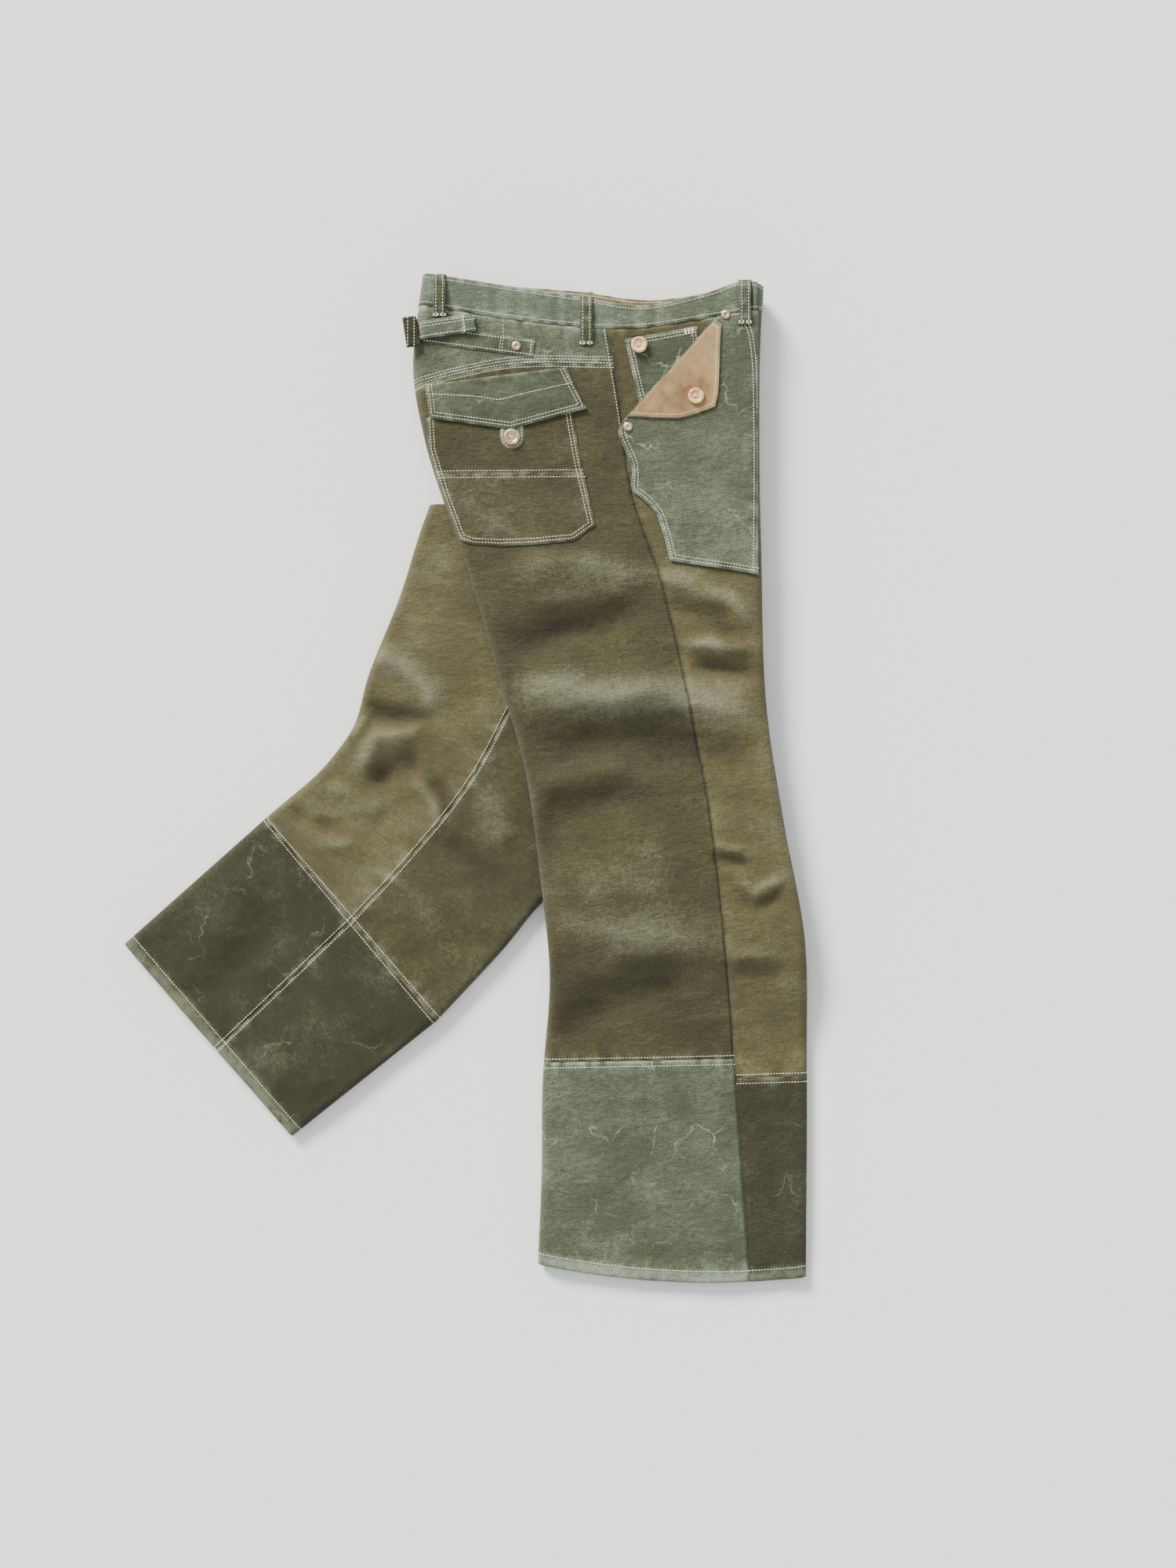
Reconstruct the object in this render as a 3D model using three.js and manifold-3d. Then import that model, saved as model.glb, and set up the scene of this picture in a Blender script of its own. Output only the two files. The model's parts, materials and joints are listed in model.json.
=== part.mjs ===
// Wide-leg duck canvas work trousers with a cinch back, lying flat on their left side.
// Millimetres, +Z up, +Y from the hems to the waistband, +X from the seat to the fly.
// The right leg lies on top of the left leg, which is swung back behind it.
import * as THREE from "three";
import { mergeVertices } from "three/addons/utils/BufferGeometryUtils.js";
import Module from "manifold-3d";

const wasm = await Module();
wasm.setup();

// Overall sizes, fold to fold and waistband to hem, as the trousers lie.
const WAIST = 372;
const LENGTH = 1103;

// Cloth and clearances.
const CLOTH = 1.2; // duck canvas
const TWILL = 0.8; // lining twill
const GAP = 0.3; // between two pieces that are sewn or lie together
const LEG_GAP = 0.4; // between the two legs, and round the hip joint

// How the trousers lie.
const LEG_DEPTH = 15; // height of one leg's tube
const FOLD_ROUND = 6; // how far in from a fold the cloth starts to curve
const HIP_RADIUS = 270; // cut between the hip and the leg that swings
const ARC_STEPS = 72;

// Waistband, belt loops and hems.
const BAND_PROUD = 0.6; // the waistband stands this far out from the panels
const BAND_CLOTH = 2.4;
const LINING_DROP = 2; // the lining stops this far under the waistband's top edge
const LOOP_WIDTH = 13;
const LOOP_GAP = 5; // room for a belt
const LOOP_FOOT = 3;
const HEM_FOLD = 14;
const BAND_SEAM = 0.9; // between the waistband's foot and the panels that hang from it

// Buttons, rivets and the buttonholes that clear them.
const BUTTON_RADIUS = 8.5;
const BUTTON_DEPTH = 3.2;
const FLY_BUTTON_RADIUS = 7;
const FLY_BUTTON_DEPTH = 2.8;
const HOLE_SPARE = 1.5;
const TAB_RIM = 3;
const RIVET_RADIUS = 5;
const RIVET_DEPTH = 1.6;

// Cinch.
const CINCH_WIDTH = 19;
const TAIL_LENGTH = 60;
const BUCKLE_LENGTH = 30;
const BUCKLE_REACH = 16;
const BUCKLE_BAR = 3;
const BUCKLE_DEPTH = 1.8;

// Pockets.
const BACK_POCKET = { width: 166, depth: 138, taper: 17 };
const BACK_FLAP = { side: 36, point: 58.5 };
const COIN_POCKET = { width: 78, depth: 94 };
const FLY_FACING = 33;

// The pattern is drafted for this waist and length, and graded to the sizes above.
const DRAFT_WAIST = 372;
const DRAFT_LENGTH = 1103;
const gradeX = (x) => (x * WAIST) / DRAFT_WAIST;
const gradeY = (y) => (y * LENGTH) / DRAFT_LENGTH;
const at = (x, y) => new THREE.Vector2(gradeX(x), gradeY(y));

// Heights. A ply is one layer of canvas with its clearance; details are stacked in plies on the hip.
const ply = (count) => count * (CLOTH + GAP) + GAP;
const UNDERSIDE = Math.max(BAND_PROUD + LOOP_GAP + CLOTH, ply(2) + BUTTON_DEPTH);
const HIP_MIDDLE = UNDERSIDE + LEG_DEPTH + LEG_GAP / 2;
const HIP_TOP = UNDERSIDE + 2 * LEG_DEPTH + LEG_GAP;

// ---- Curves -------------------------------------------------------------------------------------

// A smooth curve through knots [s, value], read at any s between them.
function smooth(knots) {
  const slope = (i) => {
    const [a, b] = [knots[Math.max(i - 1, 0)], knots[Math.min(i + 1, knots.length - 1)]];
    return (b[1] - a[1]) / (b[0] - a[0]);
  };
  return (s) => {
    let i = 0;
    while (i < knots.length - 2 && s > knots[i + 1][0]) i += 1;
    const [s0, v0] = knots[i];
    const [s1, v1] = knots[i + 1];
    const t = THREE.MathUtils.clamp((s - s0) / (s1 - s0), 0, 1);
    const h = s1 - s0;
    const [t2, t3] = [t * t, t * t * t];
    const ends = (2 * t3 - 3 * t2 + 1) * v0 + (3 * t2 - 2 * t3) * v1;
    return ends + h * ((t3 - 2 * t2 + t) * slope(i) + (t3 - t2) * slope(i + 1));
  };
}

// Across the garment at a height y: the seat fold, the fly fold and the side seam.
const alongY = (knots) => smooth(knots.map(([y, x]) => [gradeY(y), gradeX(x)]));
const seatFold = alongY([
  [-531, 79], [-430, 83], [-332, 84], [-217, 92], [-124, 84], [8, 66],
  [97, 41], [216, 7], [301, -23], [369, -44], [450, -57], [549, -46],
]);
const flyFold = alongY([
  [-545, 373], [-319, 374], [-175, 370], [-47, 347], [80, 328], [221, 323], [437, 321], [540, 325],
]);
const sideSeam = alongY([
  [-548, 311], [-367, 298], [-223, 287], [-42, 267], [88, 243], [210, 215],
  [313, 181], [389, 171], [488, 155],
]);

// Along the waist at a place x: the two edges of the waistband and the yoke seam.
const alongX = (knots) => smooth(knots.map(([x, y]) => [gradeX(x), gradeY(y)]));
const bandTop = alongX([[-46, 549], [44, 535], [125, 523], [193, 513.5], [261, 527], [301, 540], [326, 536]]);
const bandFoot = alongX([[-50, 516], [30, 502.5], [125, 491], [193, 490], [301, 507], [326, 510]]);
const yokeSeam = alongX([[-57, 425], [-10, 438], [57, 450], [165, 450]]);
// The far edge of the waistband shows above the near one.
const farSide = alongX([[-50, 0], [60, 3], [190, 6], [290, 2], [326, 0]]);

// ---- Solids -------------------------------------------------------------------------------------

function signedVolume(positions, index) {
  const [a, b, c] = [new THREE.Vector3(), new THREE.Vector3(), new THREE.Vector3()];
  let volume = 0;
  for (let i = 0; i < index.length; i += 3) {
    a.fromArray(positions, 3 * index[i]);
    b.fromArray(positions, 3 * index[i + 1]);
    c.fromArray(positions, 3 * index[i + 2]);
    volume += a.dot(b.cross(c)) / 6;
  }
  return volume;
}

function toSolid(geometry) {
  const bare = geometry.clone();
  bare.deleteAttribute("normal");
  bare.deleteAttribute("uv");
  const merged = mergeVertices(bare, 1e-4);
  const triVerts = new Uint32Array(merged.index.array);
  const vertProperties = merged.attributes.position.array;
  if (signedVolume(vertProperties, triVerts) < 0) triVerts.reverse();
  return new wasm.Manifold(new wasm.Mesh({ numProp: 3, vertProperties, triVerts }));
}

function toGeometry(solid) {
  const { vertProperties, triVerts } = solid.getMesh();
  const geometry = new THREE.BufferGeometry();
  geometry.setAttribute("position", new THREE.BufferAttribute(new Float32Array(vertProperties), 3));
  geometry.setIndex(new THREE.BufferAttribute(new Uint32Array(triVerts), 1));
  geometry.computeVertexNormals();
  return geometry;
}

// Cloth between an outer and an inner grid: rows of [outer, inner] pairs of Vector3, closed round the border.
function clothSolid(rows) {
  const [rowCount, width] = [rows.length, rows[0].length];
  const last = rowCount - 1;
  const face = (which) => rows.flatMap((row) => row.flatMap((pair) => pair[which].toArray()));
  const positions = [...face(0), ...face(1)];
  const outer = (r, c) => r * width + c;
  const inner = (r, c) => (rowCount + r) * width + c;
  const index = [];
  const quad = (a, b, c, d) => index.push(a, b, c, a, c, d);
  for (let r = 0; r < last; r += 1) {
    for (let c = 0; c < width - 1; c += 1) {
      quad(outer(r, c), outer(r + 1, c), outer(r + 1, c + 1), outer(r, c + 1));
      quad(inner(r, c), inner(r, c + 1), inner(r + 1, c + 1), inner(r + 1, c));
    }
    quad(outer(r, 0), inner(r, 0), inner(r + 1, 0), outer(r + 1, 0));
    quad(outer(r, width - 1), outer(r + 1, width - 1), inner(r + 1, width - 1), inner(r, width - 1));
  }
  for (let c = 0; c < width - 1; c += 1) {
    quad(outer(0, c), outer(0, c + 1), inner(0, c + 1), inner(0, c));
    quad(outer(last, c), inner(last, c), inner(last, c + 1), outer(last, c + 1));
  }
  const geometry = new THREE.BufferGeometry();
  geometry.setAttribute("position", new THREE.Float32BufferAttribute(positions, 3));
  geometry.setIndex(index);
  return toSolid(geometry);
}

// A flat piece cut to an outline, with round holes, between two heights.
function flatSolid(outline, low, high, holes = []) {
  const shape = new THREE.Shape(THREE.ShapeUtils.isClockWise(outline) ? outline.toReversed() : outline);
  holes.forEach(({ centre, radius }) => {
    shape.holes.push(new THREE.Path().absarc(centre.x, centre.y, radius, 0, 2 * Math.PI, true));
  });
  const options = { depth: high - low, bevelEnabled: false, curveSegments: 12 };
  const geometry = new THREE.ExtrudeGeometry(shape, options);
  return toSolid(geometry.translate(0, 0, low));
}

// A turned piece on a vertical axis: its profile is [radius, height] pairs from the axis back to the axis.
function turnedSolid(profile, centre, low, steps = 16) {
  const points = profile.map(([radius, height]) => new THREE.Vector2(radius, height));
  const geometry = new THREE.LatheGeometry(points, steps).rotateX(Math.PI / 2);
  return toSolid(geometry.translate(centre.x, centre.y, low));
}

// ---- The tube of cloth --------------------------------------------------------------------------

// A point on a flattened tube. round runs from 0 to 1 over the top from the seat fold to the fly fold, to 2
// round the fly fold, to 3 back along the underside, and to 4 round the seat fold.
function tubePoint({ seat, fly, low, high, lift }, round, inset) {
  const width = seat.distanceTo(fly);
  const edge = FOLD_ROUND / width;
  const [middle, reach] = [(low + high) / 2, (high - low) / 2 - inset];
  const turn = (edge - inset / width) * Math.sin((round % 1) * Math.PI);
  let [share, z] = [0, 0];
  if (round <= 1) [share, z] = [edge + round * (1 - 2 * edge), high - inset];
  else if (round < 2) [share, z] = [1 - edge + turn, middle + reach * Math.cos((round - 1) * Math.PI)];
  else if (round <= 3) [share, z] = [1 - edge - (round - 2) * (1 - 2 * edge), low + inset];
  else [share, z] = [edge - turn, middle - reach * Math.cos((round - 3) * Math.PI)];
  const flat = seat.clone().lerp(fly, share);
  return new THREE.Vector3(flat.x, flat.y + (lift ? lift(flat.x, round) : 0), z);
}

// Where a share of the tube's width falls on its top, as a round value.
function roundAt(tube, share) {
  const edge = FOLD_ROUND / tube.seat.distanceTo(tube.fly);
  return (share - edge) / (1 - 2 * edge);
}

function clothOnTubes(tubes, roundsOf, insets = () => [0, CLOTH]) {
  return clothSolid(
    tubes.map((tube, i) => {
      const [outer, inner] = insets(i);
      return roundsOf(tube).map((round) => [tubePoint(tube, round, outer), tubePoint(tube, round, inner)]);
    }),
  );
}

const SEAM_TURN = 0.005; // half a seam's clearance at a fold, as a round value
const halfSeam = (tube) => GAP / 2 / tube.seat.distanceTo(tube.fly);
const steps = (from, to, count) =>
  Array.from({ length: count + 1 }, (_, i) => from + ((to - from) * i) / count);

// Each panel starts at the seam on the side that shows it, and goes round its own fold.
const topSeatHalf = (tube) => {
  const seam = roundAt(tube, tube.outer) - halfSeam(tube);
  return [...steps(seam, seam / 4, 3), 4, 3.75, 3.5 + SEAM_TURN];
};
const topFlyHalf = (tube) => {
  const seam = roundAt(tube, tube.outer) + halfSeam(tube);
  return [...steps(seam, 1, 4), 1.25, 1.5 - SEAM_TURN];
};
const underSeatHalf = (tube) => topSeatHalf(tube).map((round) => (round <= 1 ? 3 - round : 7 - round));
const underFlyHalf = (tube) => topFlyHalf(tube).map((round) => 3 - round);
const seatPanel = (above, below) => (tube) => {
  const from = roundAt(tube, tube[above]) - halfSeam(tube);
  const to = roundAt(tube, tube[below]) - halfSeam(tube);
  return [from, (2 * from) / 3, from / 3, ...steps(4, 3, 4), 3 - to / 2, 3 - to];
};
const flyPanel = (above, below) => (tube) => {
  const from = roundAt(tube, tube[above]) + halfSeam(tube);
  const to = roundAt(tube, tube[below]) + halfSeam(tube);
  return [from, (1 + from) / 2, ...steps(1, 2, 4), 3 - (1 + to) / 2, 3 - to];
};

// ---- Where each tube lies -----------------------------------------------------------------------

const hipTube = (y, lift) => {
  const [seat, fly] = [new THREE.Vector2(seatFold(y), y), new THREE.Vector2(flyFold(y), y)];
  const outer = (sideSeam(y) - seat.x) / (fly.x - seat.x);
  return { seat, fly, low: UNDERSIDE, high: HIP_TOP, outer, lift };
};

const CROTCH = gradeY(262);
const CROTCH_LAP = 10; // the leg's tube and the hip share this much of each panel
const INSEAM = 0.5;
const restsOnFloor = (y) => 1 - THREE.MathUtils.smoothstep(y, gradeY(-300), gradeY(-165));
const rightTube = (seatY, flyY = seatY) => {
  const [seat, fly] = [new THREE.Vector2(seatFold(seatY), seatY), new THREE.Vector2(flyFold(flyY), flyY)];
  const low = (1 - restsOnFloor((seatY + flyY) / 2)) * (UNDERSIDE + LEG_DEPTH + LEG_GAP);
  const outer = (sideSeam(seatY) - seat.x) / (fly.x - seat.x);
  return { seat, fly, low, high: low + LEG_DEPTH, outer, inner: INSEAM };
};
const RIGHT_CUFF = { seat: gradeY(-310), fly: 0.077 }; // the front seam is this share of the way to the hem
const RIGHT_HEM = { seat: gradeY(-531), fly: gradeY(-545), bow: gradeY(-12) };

// The left leg, from the hip to the cuff seam and the hem: seat edge, fly edge, side seam and inseam shares
// of the width, and how much of the hip's height it keeps.
const leftTube = (seat, fly, outer, inner, raised) => {
  const low = raised * UNDERSIDE;
  return { seat, fly, low, high: low + LEG_DEPTH, outer, inner };
};
const sideShare = (seatX, y) => (sideSeam(gradeY(y)) - gradeX(seatX)) / (gradeX(322) - gradeX(seatX));
const LEFT_LEG = [
  leftTube(at(-37, 306), at(322, 306), sideShare(-37, 306), 0.45, 1),
  leftTube(at(-39, 300), at(322, 300), sideShare(-39, 300), 0.45, 1),
  leftTube(at(-50, 270), at(321, 255), 0.645, 0.46, 1),
  leftTube(at(-72, 200), at(300, 150), 0.66, 0.465, 1),
  leftTube(at(-106, 115), at(222, 35), 0.68, 0.47, 0.8),
  leftTube(at(-121, 62), at(165, -45), 0.69, 0.47, 0.5),
  leftTube(at(-142, 30), at(110, -110), 0.7, 0.48, 0.2),
  leftTube(at(-165, 4), at(77, -142), 0.72, 0.49, 0),
  leftTube(at(-205, -30), at(38, -190), 0.74, 0.5, 0),
  leftTube(at(-219, -42), at(-32, -265), 0.75, 0.503, 0),
];
const LEFT_HEM = leftTube(at(-374, -180), at(-190, -391), 0.786, 0.548, 0);
const HIP_CENTRE = at(130, 400);

// A tube part of the way from one tube to another.
const liftOf = (tube, x) => (tube.lift ? tube.lift(x) : 0);
const between = (a, b, share) => ({
  ...a,
  seat: a.seat.clone().lerp(b.seat, share),
  fly: a.fly.clone().lerp(b.fly, share),
  low: THREE.MathUtils.lerp(a.low, b.low, share),
  high: THREE.MathUtils.lerp(a.high, b.high, share),
  outer: THREE.MathUtils.lerp(a.outer, b.outer, share),
  inner: THREE.MathUtils.lerp(a.inner, b.inner, share),
  lift: (x) => THREE.MathUtils.lerp(liftOf(a, x), liftOf(b, x), share),
});

// A cuff runs from its seam to the hem, where its cloth is folded double.
function cuffSolid(seam, hem, roundsOf) {
  const length = seam.seat.distanceTo(hem.seat);
  const foldAt = 1 - HEM_FOLD / length;
  const stations = [GAP / length, foldAt, foldAt + CLOTH / length, 1];
  const tubes = stations.map((share) => between(seam, hem, share));
  return clothOnTubes(tubes, roundsOf, (i) => [0, i > 1 ? 2 * CLOTH : CLOTH]);
}

// ---- Finishes -----------------------------------------------------------------------------------

const finish = (color, roughness, metalness = 0) => () =>
  new THREE.MeshStandardMaterial({ color, roughness, metalness });
const canvas = finish("#5d5940", 0.95);
const fadedCanvas = finish("#7c8472", 0.95);
const cuffCanvas = finish("#565b42", 0.95);
const bandCanvas = finish("#8a9080", 0.95);
const twill = finish("#b39a7b", 0.95);
const horn = finish("#d9b98a", 0.45);
const brass = finish("#a98d4f", 0.35, 1);
const copper = finish("#caa890", 0.4, 1);
const darkMetal = finish("#3b3a34", 0.5, 1);

const trousers = new THREE.Group();
const rightDetails = new THREE.Group();
rightDetails.position.z = HIP_TOP;
// The left side's details face the floor: the same pieces, turned to hang from the hip's underside.
const leftDetails = new THREE.Group();
leftDetails.scale.z = -1;
leftDetails.position.z = UNDERSIDE;
trousers.add(rightDetails, leftDetails);

function addPiece(name, solid, material, parent = trousers) {
  const mesh = new THREE.Mesh(toGeometry(solid), material());
  mesh.name = name;
  parent.add(mesh);
}

// ---- Panels -------------------------------------------------------------------------------------

const CROTCH_STATIONS = [CROTCH + CROTCH_LAP, CROTCH];
const HIP_LEVELS = [400, 350, 306, 300].map(gradeY);

// A hip panel hangs from a seam line that isn't level, and its lower stations ease to level.
function hangFrom(seamAt, ySeam, inset) {
  return hipTube(ySeam, (x) => seamAt(x) - ySeam - inset);
}

function buildPanels() {
  const yokeY = gradeY(440);
  const bandY = gradeY(500);
  const footOf = (round) => (round > 1.5 && round < 3.5 ? 1 : 0);
  const bandLift = (x, round) => bandFoot(x) + footOf(round) * farSide(x) - bandY - BAND_SEAM;
  const band = hipTube(bandY, bandLift);
  const aboveYoke = hangFrom(yokeSeam, yokeY, -GAP / 2);
  const underYoke = hangFrom(yokeSeam, yokeY, GAP / 2);
  const besideYoke = hangFrom(yokeSeam, yokeY, 0);
  const level = HIP_LEVELS.map((y) => hipTube(y));
  const hipStations = CROTCH_STATIONS.map((y) => hipTube(y));
  const right = [...CROTCH_STATIONS, ...[200, 130, 60, -10, -80, -150, -190, -230, -270].map(gradeY)];
  const rightTubes = right.map((y) => rightTube(y));
  const seatEnd = rightTube(RIGHT_CUFF.seat);
  const bow = (tube) => ({ ...tube, lift: (x) => {
    const share = (x - tube.seat.x) / (tube.fly.x - tube.seat.x);
    return 4 * RIGHT_HEM.bow * share * (1 - share);
  } });
  const rightHem = bow(rightTube(RIGHT_HEM.seat, RIGHT_HEM.fly));
  const flyEnd = between(seatEnd, rightHem, RIGHT_CUFF.fly);

  addPiece("right_yoke", clothOnTubes([band, aboveYoke], topSeatHalf), fadedCanvas);
  addPiece("left_yoke", clothOnTubes([band, aboveYoke], underSeatHalf), fadedCanvas);

  const rightSeat = clothOnTubes([underYoke, ...level, ...hipStations], topSeatHalf);
  const rightSeatLeg = clothOnTubes([...rightTubes, seatEnd], seatPanel("outer", "inner"));
  addPiece("right_back_panel", rightSeat.add(rightSeatLeg), canvas);
  const rightFly = clothOnTubes([band, besideYoke, ...level, ...hipStations], topFlyHalf);
  const rightFlyLeg = clothOnTubes([...rightTubes, seatEnd, flyEnd], flyPanel("outer", "inner"));
  addPiece("right_front_panel", rightFly.add(rightFlyLeg), canvas);

  const circle = (radius) => {
    const outline = new THREE.Path().absarc(HIP_CENTRE.x, HIP_CENTRE.y, radius, 0, 2 * Math.PI);
    return flatSolid(outline.getPoints(ARC_STEPS).slice(0, -1), -LEG_DEPTH, HIP_TOP + LEG_DEPTH);
  };
  const hipRound = circle(HIP_RADIUS);
  const legRound = circle(HIP_RADIUS + LEG_GAP);
  const leftSeat = clothOnTubes([underYoke, ...level], underSeatHalf);
  const leftSeatLeg = clothOnTubes(LEFT_LEG, seatPanel("inner", "outer"));
  addPiece("left_back_panel", leftSeat.add(leftSeatLeg.intersect(hipRound)), canvas);
  addPiece("left_back_leg", leftSeatLeg.subtract(legRound), canvas);
  const leftFly = clothOnTubes([band, besideYoke, ...level], underFlyHalf);
  const leftFlyLeg = clothOnTubes(LEFT_LEG, flyPanel("inner", "outer"));
  addPiece("left_front_panel", leftFly.add(leftFlyLeg.intersect(hipRound)), canvas);
  addPiece("left_front_leg", leftFlyLeg.subtract(legRound), canvas);

  addPiece("right_back_cuff", cuffSolid(seatEnd, rightHem, seatPanel("outer", "inner")), fadedCanvas);
  addPiece("right_front_cuff", cuffSolid(flyEnd, rightHem, flyPanel("outer", "inner")), cuffCanvas);
  const leftEnd = LEFT_LEG.at(-1);
  addPiece("left_back_cuff", cuffSolid(leftEnd, LEFT_HEM, seatPanel("inner", "outer")), cuffCanvas);
  addPiece("left_front_cuff", cuffSolid(leftEnd, LEFT_HEM, flyPanel("inner", "outer")), cuffCanvas);
}

// ---- Waistband ----------------------------------------------------------------------------------

// The band is one strip that starts at the fly on the right side, goes round the back, and ends at the fly.
function buildWaistband() {
  const bandY = gradeY(520);
  const slit = 0.97;
  const isFar = (round) => (round > 1.5 && round < 3.5 ? 1 : 0);
  const edge = (line, drop) =>
    hipTube(bandY, (x, round) => line(x) + isFar(round) * farSide(x) - bandY - drop);
  const rounds = () => [
    ...steps(slit - SEAM_TURN, 0, 12), ...steps(3.75, 3.25, 2), ...steps(3, 2, 12),
    ...steps(1.75, 1.25, 2), 1, slit + SEAM_TURN,
  ];
  const strip = (drop, outer, inner) =>
    clothOnTubes([edge(bandTop, drop), edge(bandFoot, 0)], rounds, () => [outer, inner]);
  addPiece("waistband", strip(0, -BAND_PROUD, BAND_CLOTH - BAND_PROUD), bandCanvas);
  const liningAt = BAND_CLOTH - BAND_PROUD + GAP;
  addPiece("waistband_lining", strip(LINING_DROP, liningAt, liningAt + TWILL), twill);
}

// A belt loop stands off the band on two feet; foot is the height its lower foot is sewn at.
function beltLoop(centre, drop, foot) {
  const top = bandTop(centre);
  const bottom = bandFoot(centre) - drop;
  const [arch, toe] = [BAND_PROUD + LOOP_GAP, LOOP_FOOT];
  const profile = [
    [bottom, foot], [bottom, foot + CLOTH], [bottom + toe, arch + CLOTH], [top - toe, arch + CLOTH],
    [top, BAND_PROUD + GAP + CLOTH], [top, BAND_PROUD + GAP], [top - toe, BAND_PROUD + GAP],
    [top - 2 * toe, arch], [bottom + 2 * toe, arch], [bottom + toe, foot],
  ].map(([y, z]) => new THREE.Vector2(y, z));
  const options = { depth: LOOP_WIDTH, bevelEnabled: false };
  const strip = new THREE.ExtrudeGeometry(new THREE.Shape(profile), options);
  // The profile is drawn in Y and Z, and the strip's width is along X.
  strip.applyMatrix4(new THREE.Matrix4().set(0, 0, 1, 0, 1, 0, 0, 0, 0, 1, 0, 0, 0, 0, 0, 1));
  return toSolid(strip.translate(centre - LOOP_WIDTH / 2, 0, 0));
}

function buildBeltLoops(side, parent) {
  addPiece(`${side}_back_loop`, beltLoop(gradeX(-27), 11, ply(0)), bandCanvas, parent);
  addPiece(`${side}_side_loop`, beltLoop(gradeX(132), 20, ply(0)), bandCanvas, parent);
  addPiece(`${side}_front_loop`, beltLoop(gradeX(304), 15, ply(2)), bandCanvas, parent);
}

// ---- Buttons and rivets -------------------------------------------------------------------------

function button(centre, low, radius = BUTTON_RADIUS, depth = BUTTON_DEPTH) {
  const waist = 0.45 * radius;
  const dish = 0.6 * radius;
  const profile = [
    [0, 0], [waist, 0], [waist, 0.3 * depth], [radius, 0.45 * depth], [radius, 0.85 * depth],
    [0.88 * radius, depth], [dish, depth], [0.8 * dish, 0.75 * depth], [0, 0.75 * depth],
  ];
  return turnedSolid(profile, centre, low);
}

function rivet(centre, low) {
  const profile = [
    [0, 0], [RIVET_RADIUS, 0], [RIVET_RADIUS, 0.4 * RIVET_DEPTH], [0.6 * RIVET_RADIUS, RIVET_DEPTH],
    [0, RIVET_DEPTH],
  ];
  return turnedSolid(profile, centre, low);
}

// ---- Back pocket, flap and tab ------------------------------------------------------------------

function buildBackPocket(side, parent) {
  const left = at(-41, 391);
  const corner = (across, down) => new THREE.Vector2(left.x + across, left.y - down);
  const { width, depth, taper } = BACK_POCKET;
  const pocket = [
    corner(0, 0), corner(0.13 * taper, 0.25 * depth), corner(2 * taper, 0.93 * depth),
    corner(0.48 * width, depth), corner(0.86 * width + taper, 0.96 * depth),
    corner(width + taper, 0.84 * depth), corner(width, 0.3 * depth), corner(width - taper / 2, -0.06 * depth),
  ];
  addPiece(`${side}_back_pocket`, flatSolid(pocket, ply(0), ply(0) + CLOTH), canvas, parent);

  // The flap hangs from the yoke seam: its hinge line runs from the seat fold to the side seam.
  const [from, to] = [at(-42, 427), at(110, 446)];
  const along = to.clone().sub(from).normalize();
  const down = new THREE.Vector2(along.y, -along.x);
  const reach = to.distanceTo(from);
  const onFlap = (across, drop) => from.clone().addScaledVector(along, across).addScaledVector(down, drop);
  const middle = 0.56 * reach;
  const flap = [
    onFlap(0, 0), onFlap(0, BACK_FLAP.side), onFlap(middle, BACK_FLAP.point),
    onFlap(reach + taper, 1.3 * BACK_FLAP.side), onFlap(reach, 0),
  ];
  const tabHole = BUTTON_RADIUS + HOLE_SPARE / 2;
  const buttonAt = onFlap(middle, BACK_FLAP.point + BUTTON_RADIUS + 2 * GAP);
  const tabRadius = tabHole + TAB_RIM;
  const tab = [];
  for (const turn of steps(Math.PI, 2 * Math.PI, 8)) {
    const rim = new THREE.Vector2(tabRadius * Math.cos(turn), tabRadius * Math.sin(turn));
    tab.push(rim.add(buttonAt));
  }
  const tabTop = buttonAt.y + 2.2 * BUTTON_RADIUS;
  tab.push(...[tabRadius, -tabRadius].map((reach) => new THREE.Vector2(buttonAt.x + reach, tabTop)));
  const hole = [{ centre: buttonAt, radius: tabHole }];
  addPiece(`${side}_back_flap`, flatSolid(flap, ply(2), ply(2) + CLOTH), fadedCanvas, parent);
  addPiece(`${side}_flap_tab`, flatSolid(tab, ply(1), ply(1) + CLOTH, hole), bandCanvas, parent);
  addPiece(`${side}_back_button`, button(buttonAt, ply(1)), brass, parent);
}

// ---- Front pocket and its fold-back corner ------------------------------------------------------

// The corner of the patch folds back about a slanting line across the pocket mouth. It is two layers,
// canvas and twill, and a hole in them clears a button at either end of its swing.
const MOUTH = { point: at(229, 452.5), along: new THREE.Vector2(0.67, 0.742).normalize() };
const CLOSED_TOP = ply(1) + TWILL + GAP + CLOTH;
const FOLD_HEIGHT = (CLOSED_TOP + ply(2)) / 2;

// A point given by its distance along the fold line and its distance out from it, towards the fly.
const fromMouth = (along, out) =>
  MOUTH.point.clone().addScaledVector(MOUTH.along, along)
    .add(new THREE.Vector2(MOUTH.along.y, -MOUTH.along.x).multiplyScalar(out));

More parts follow.
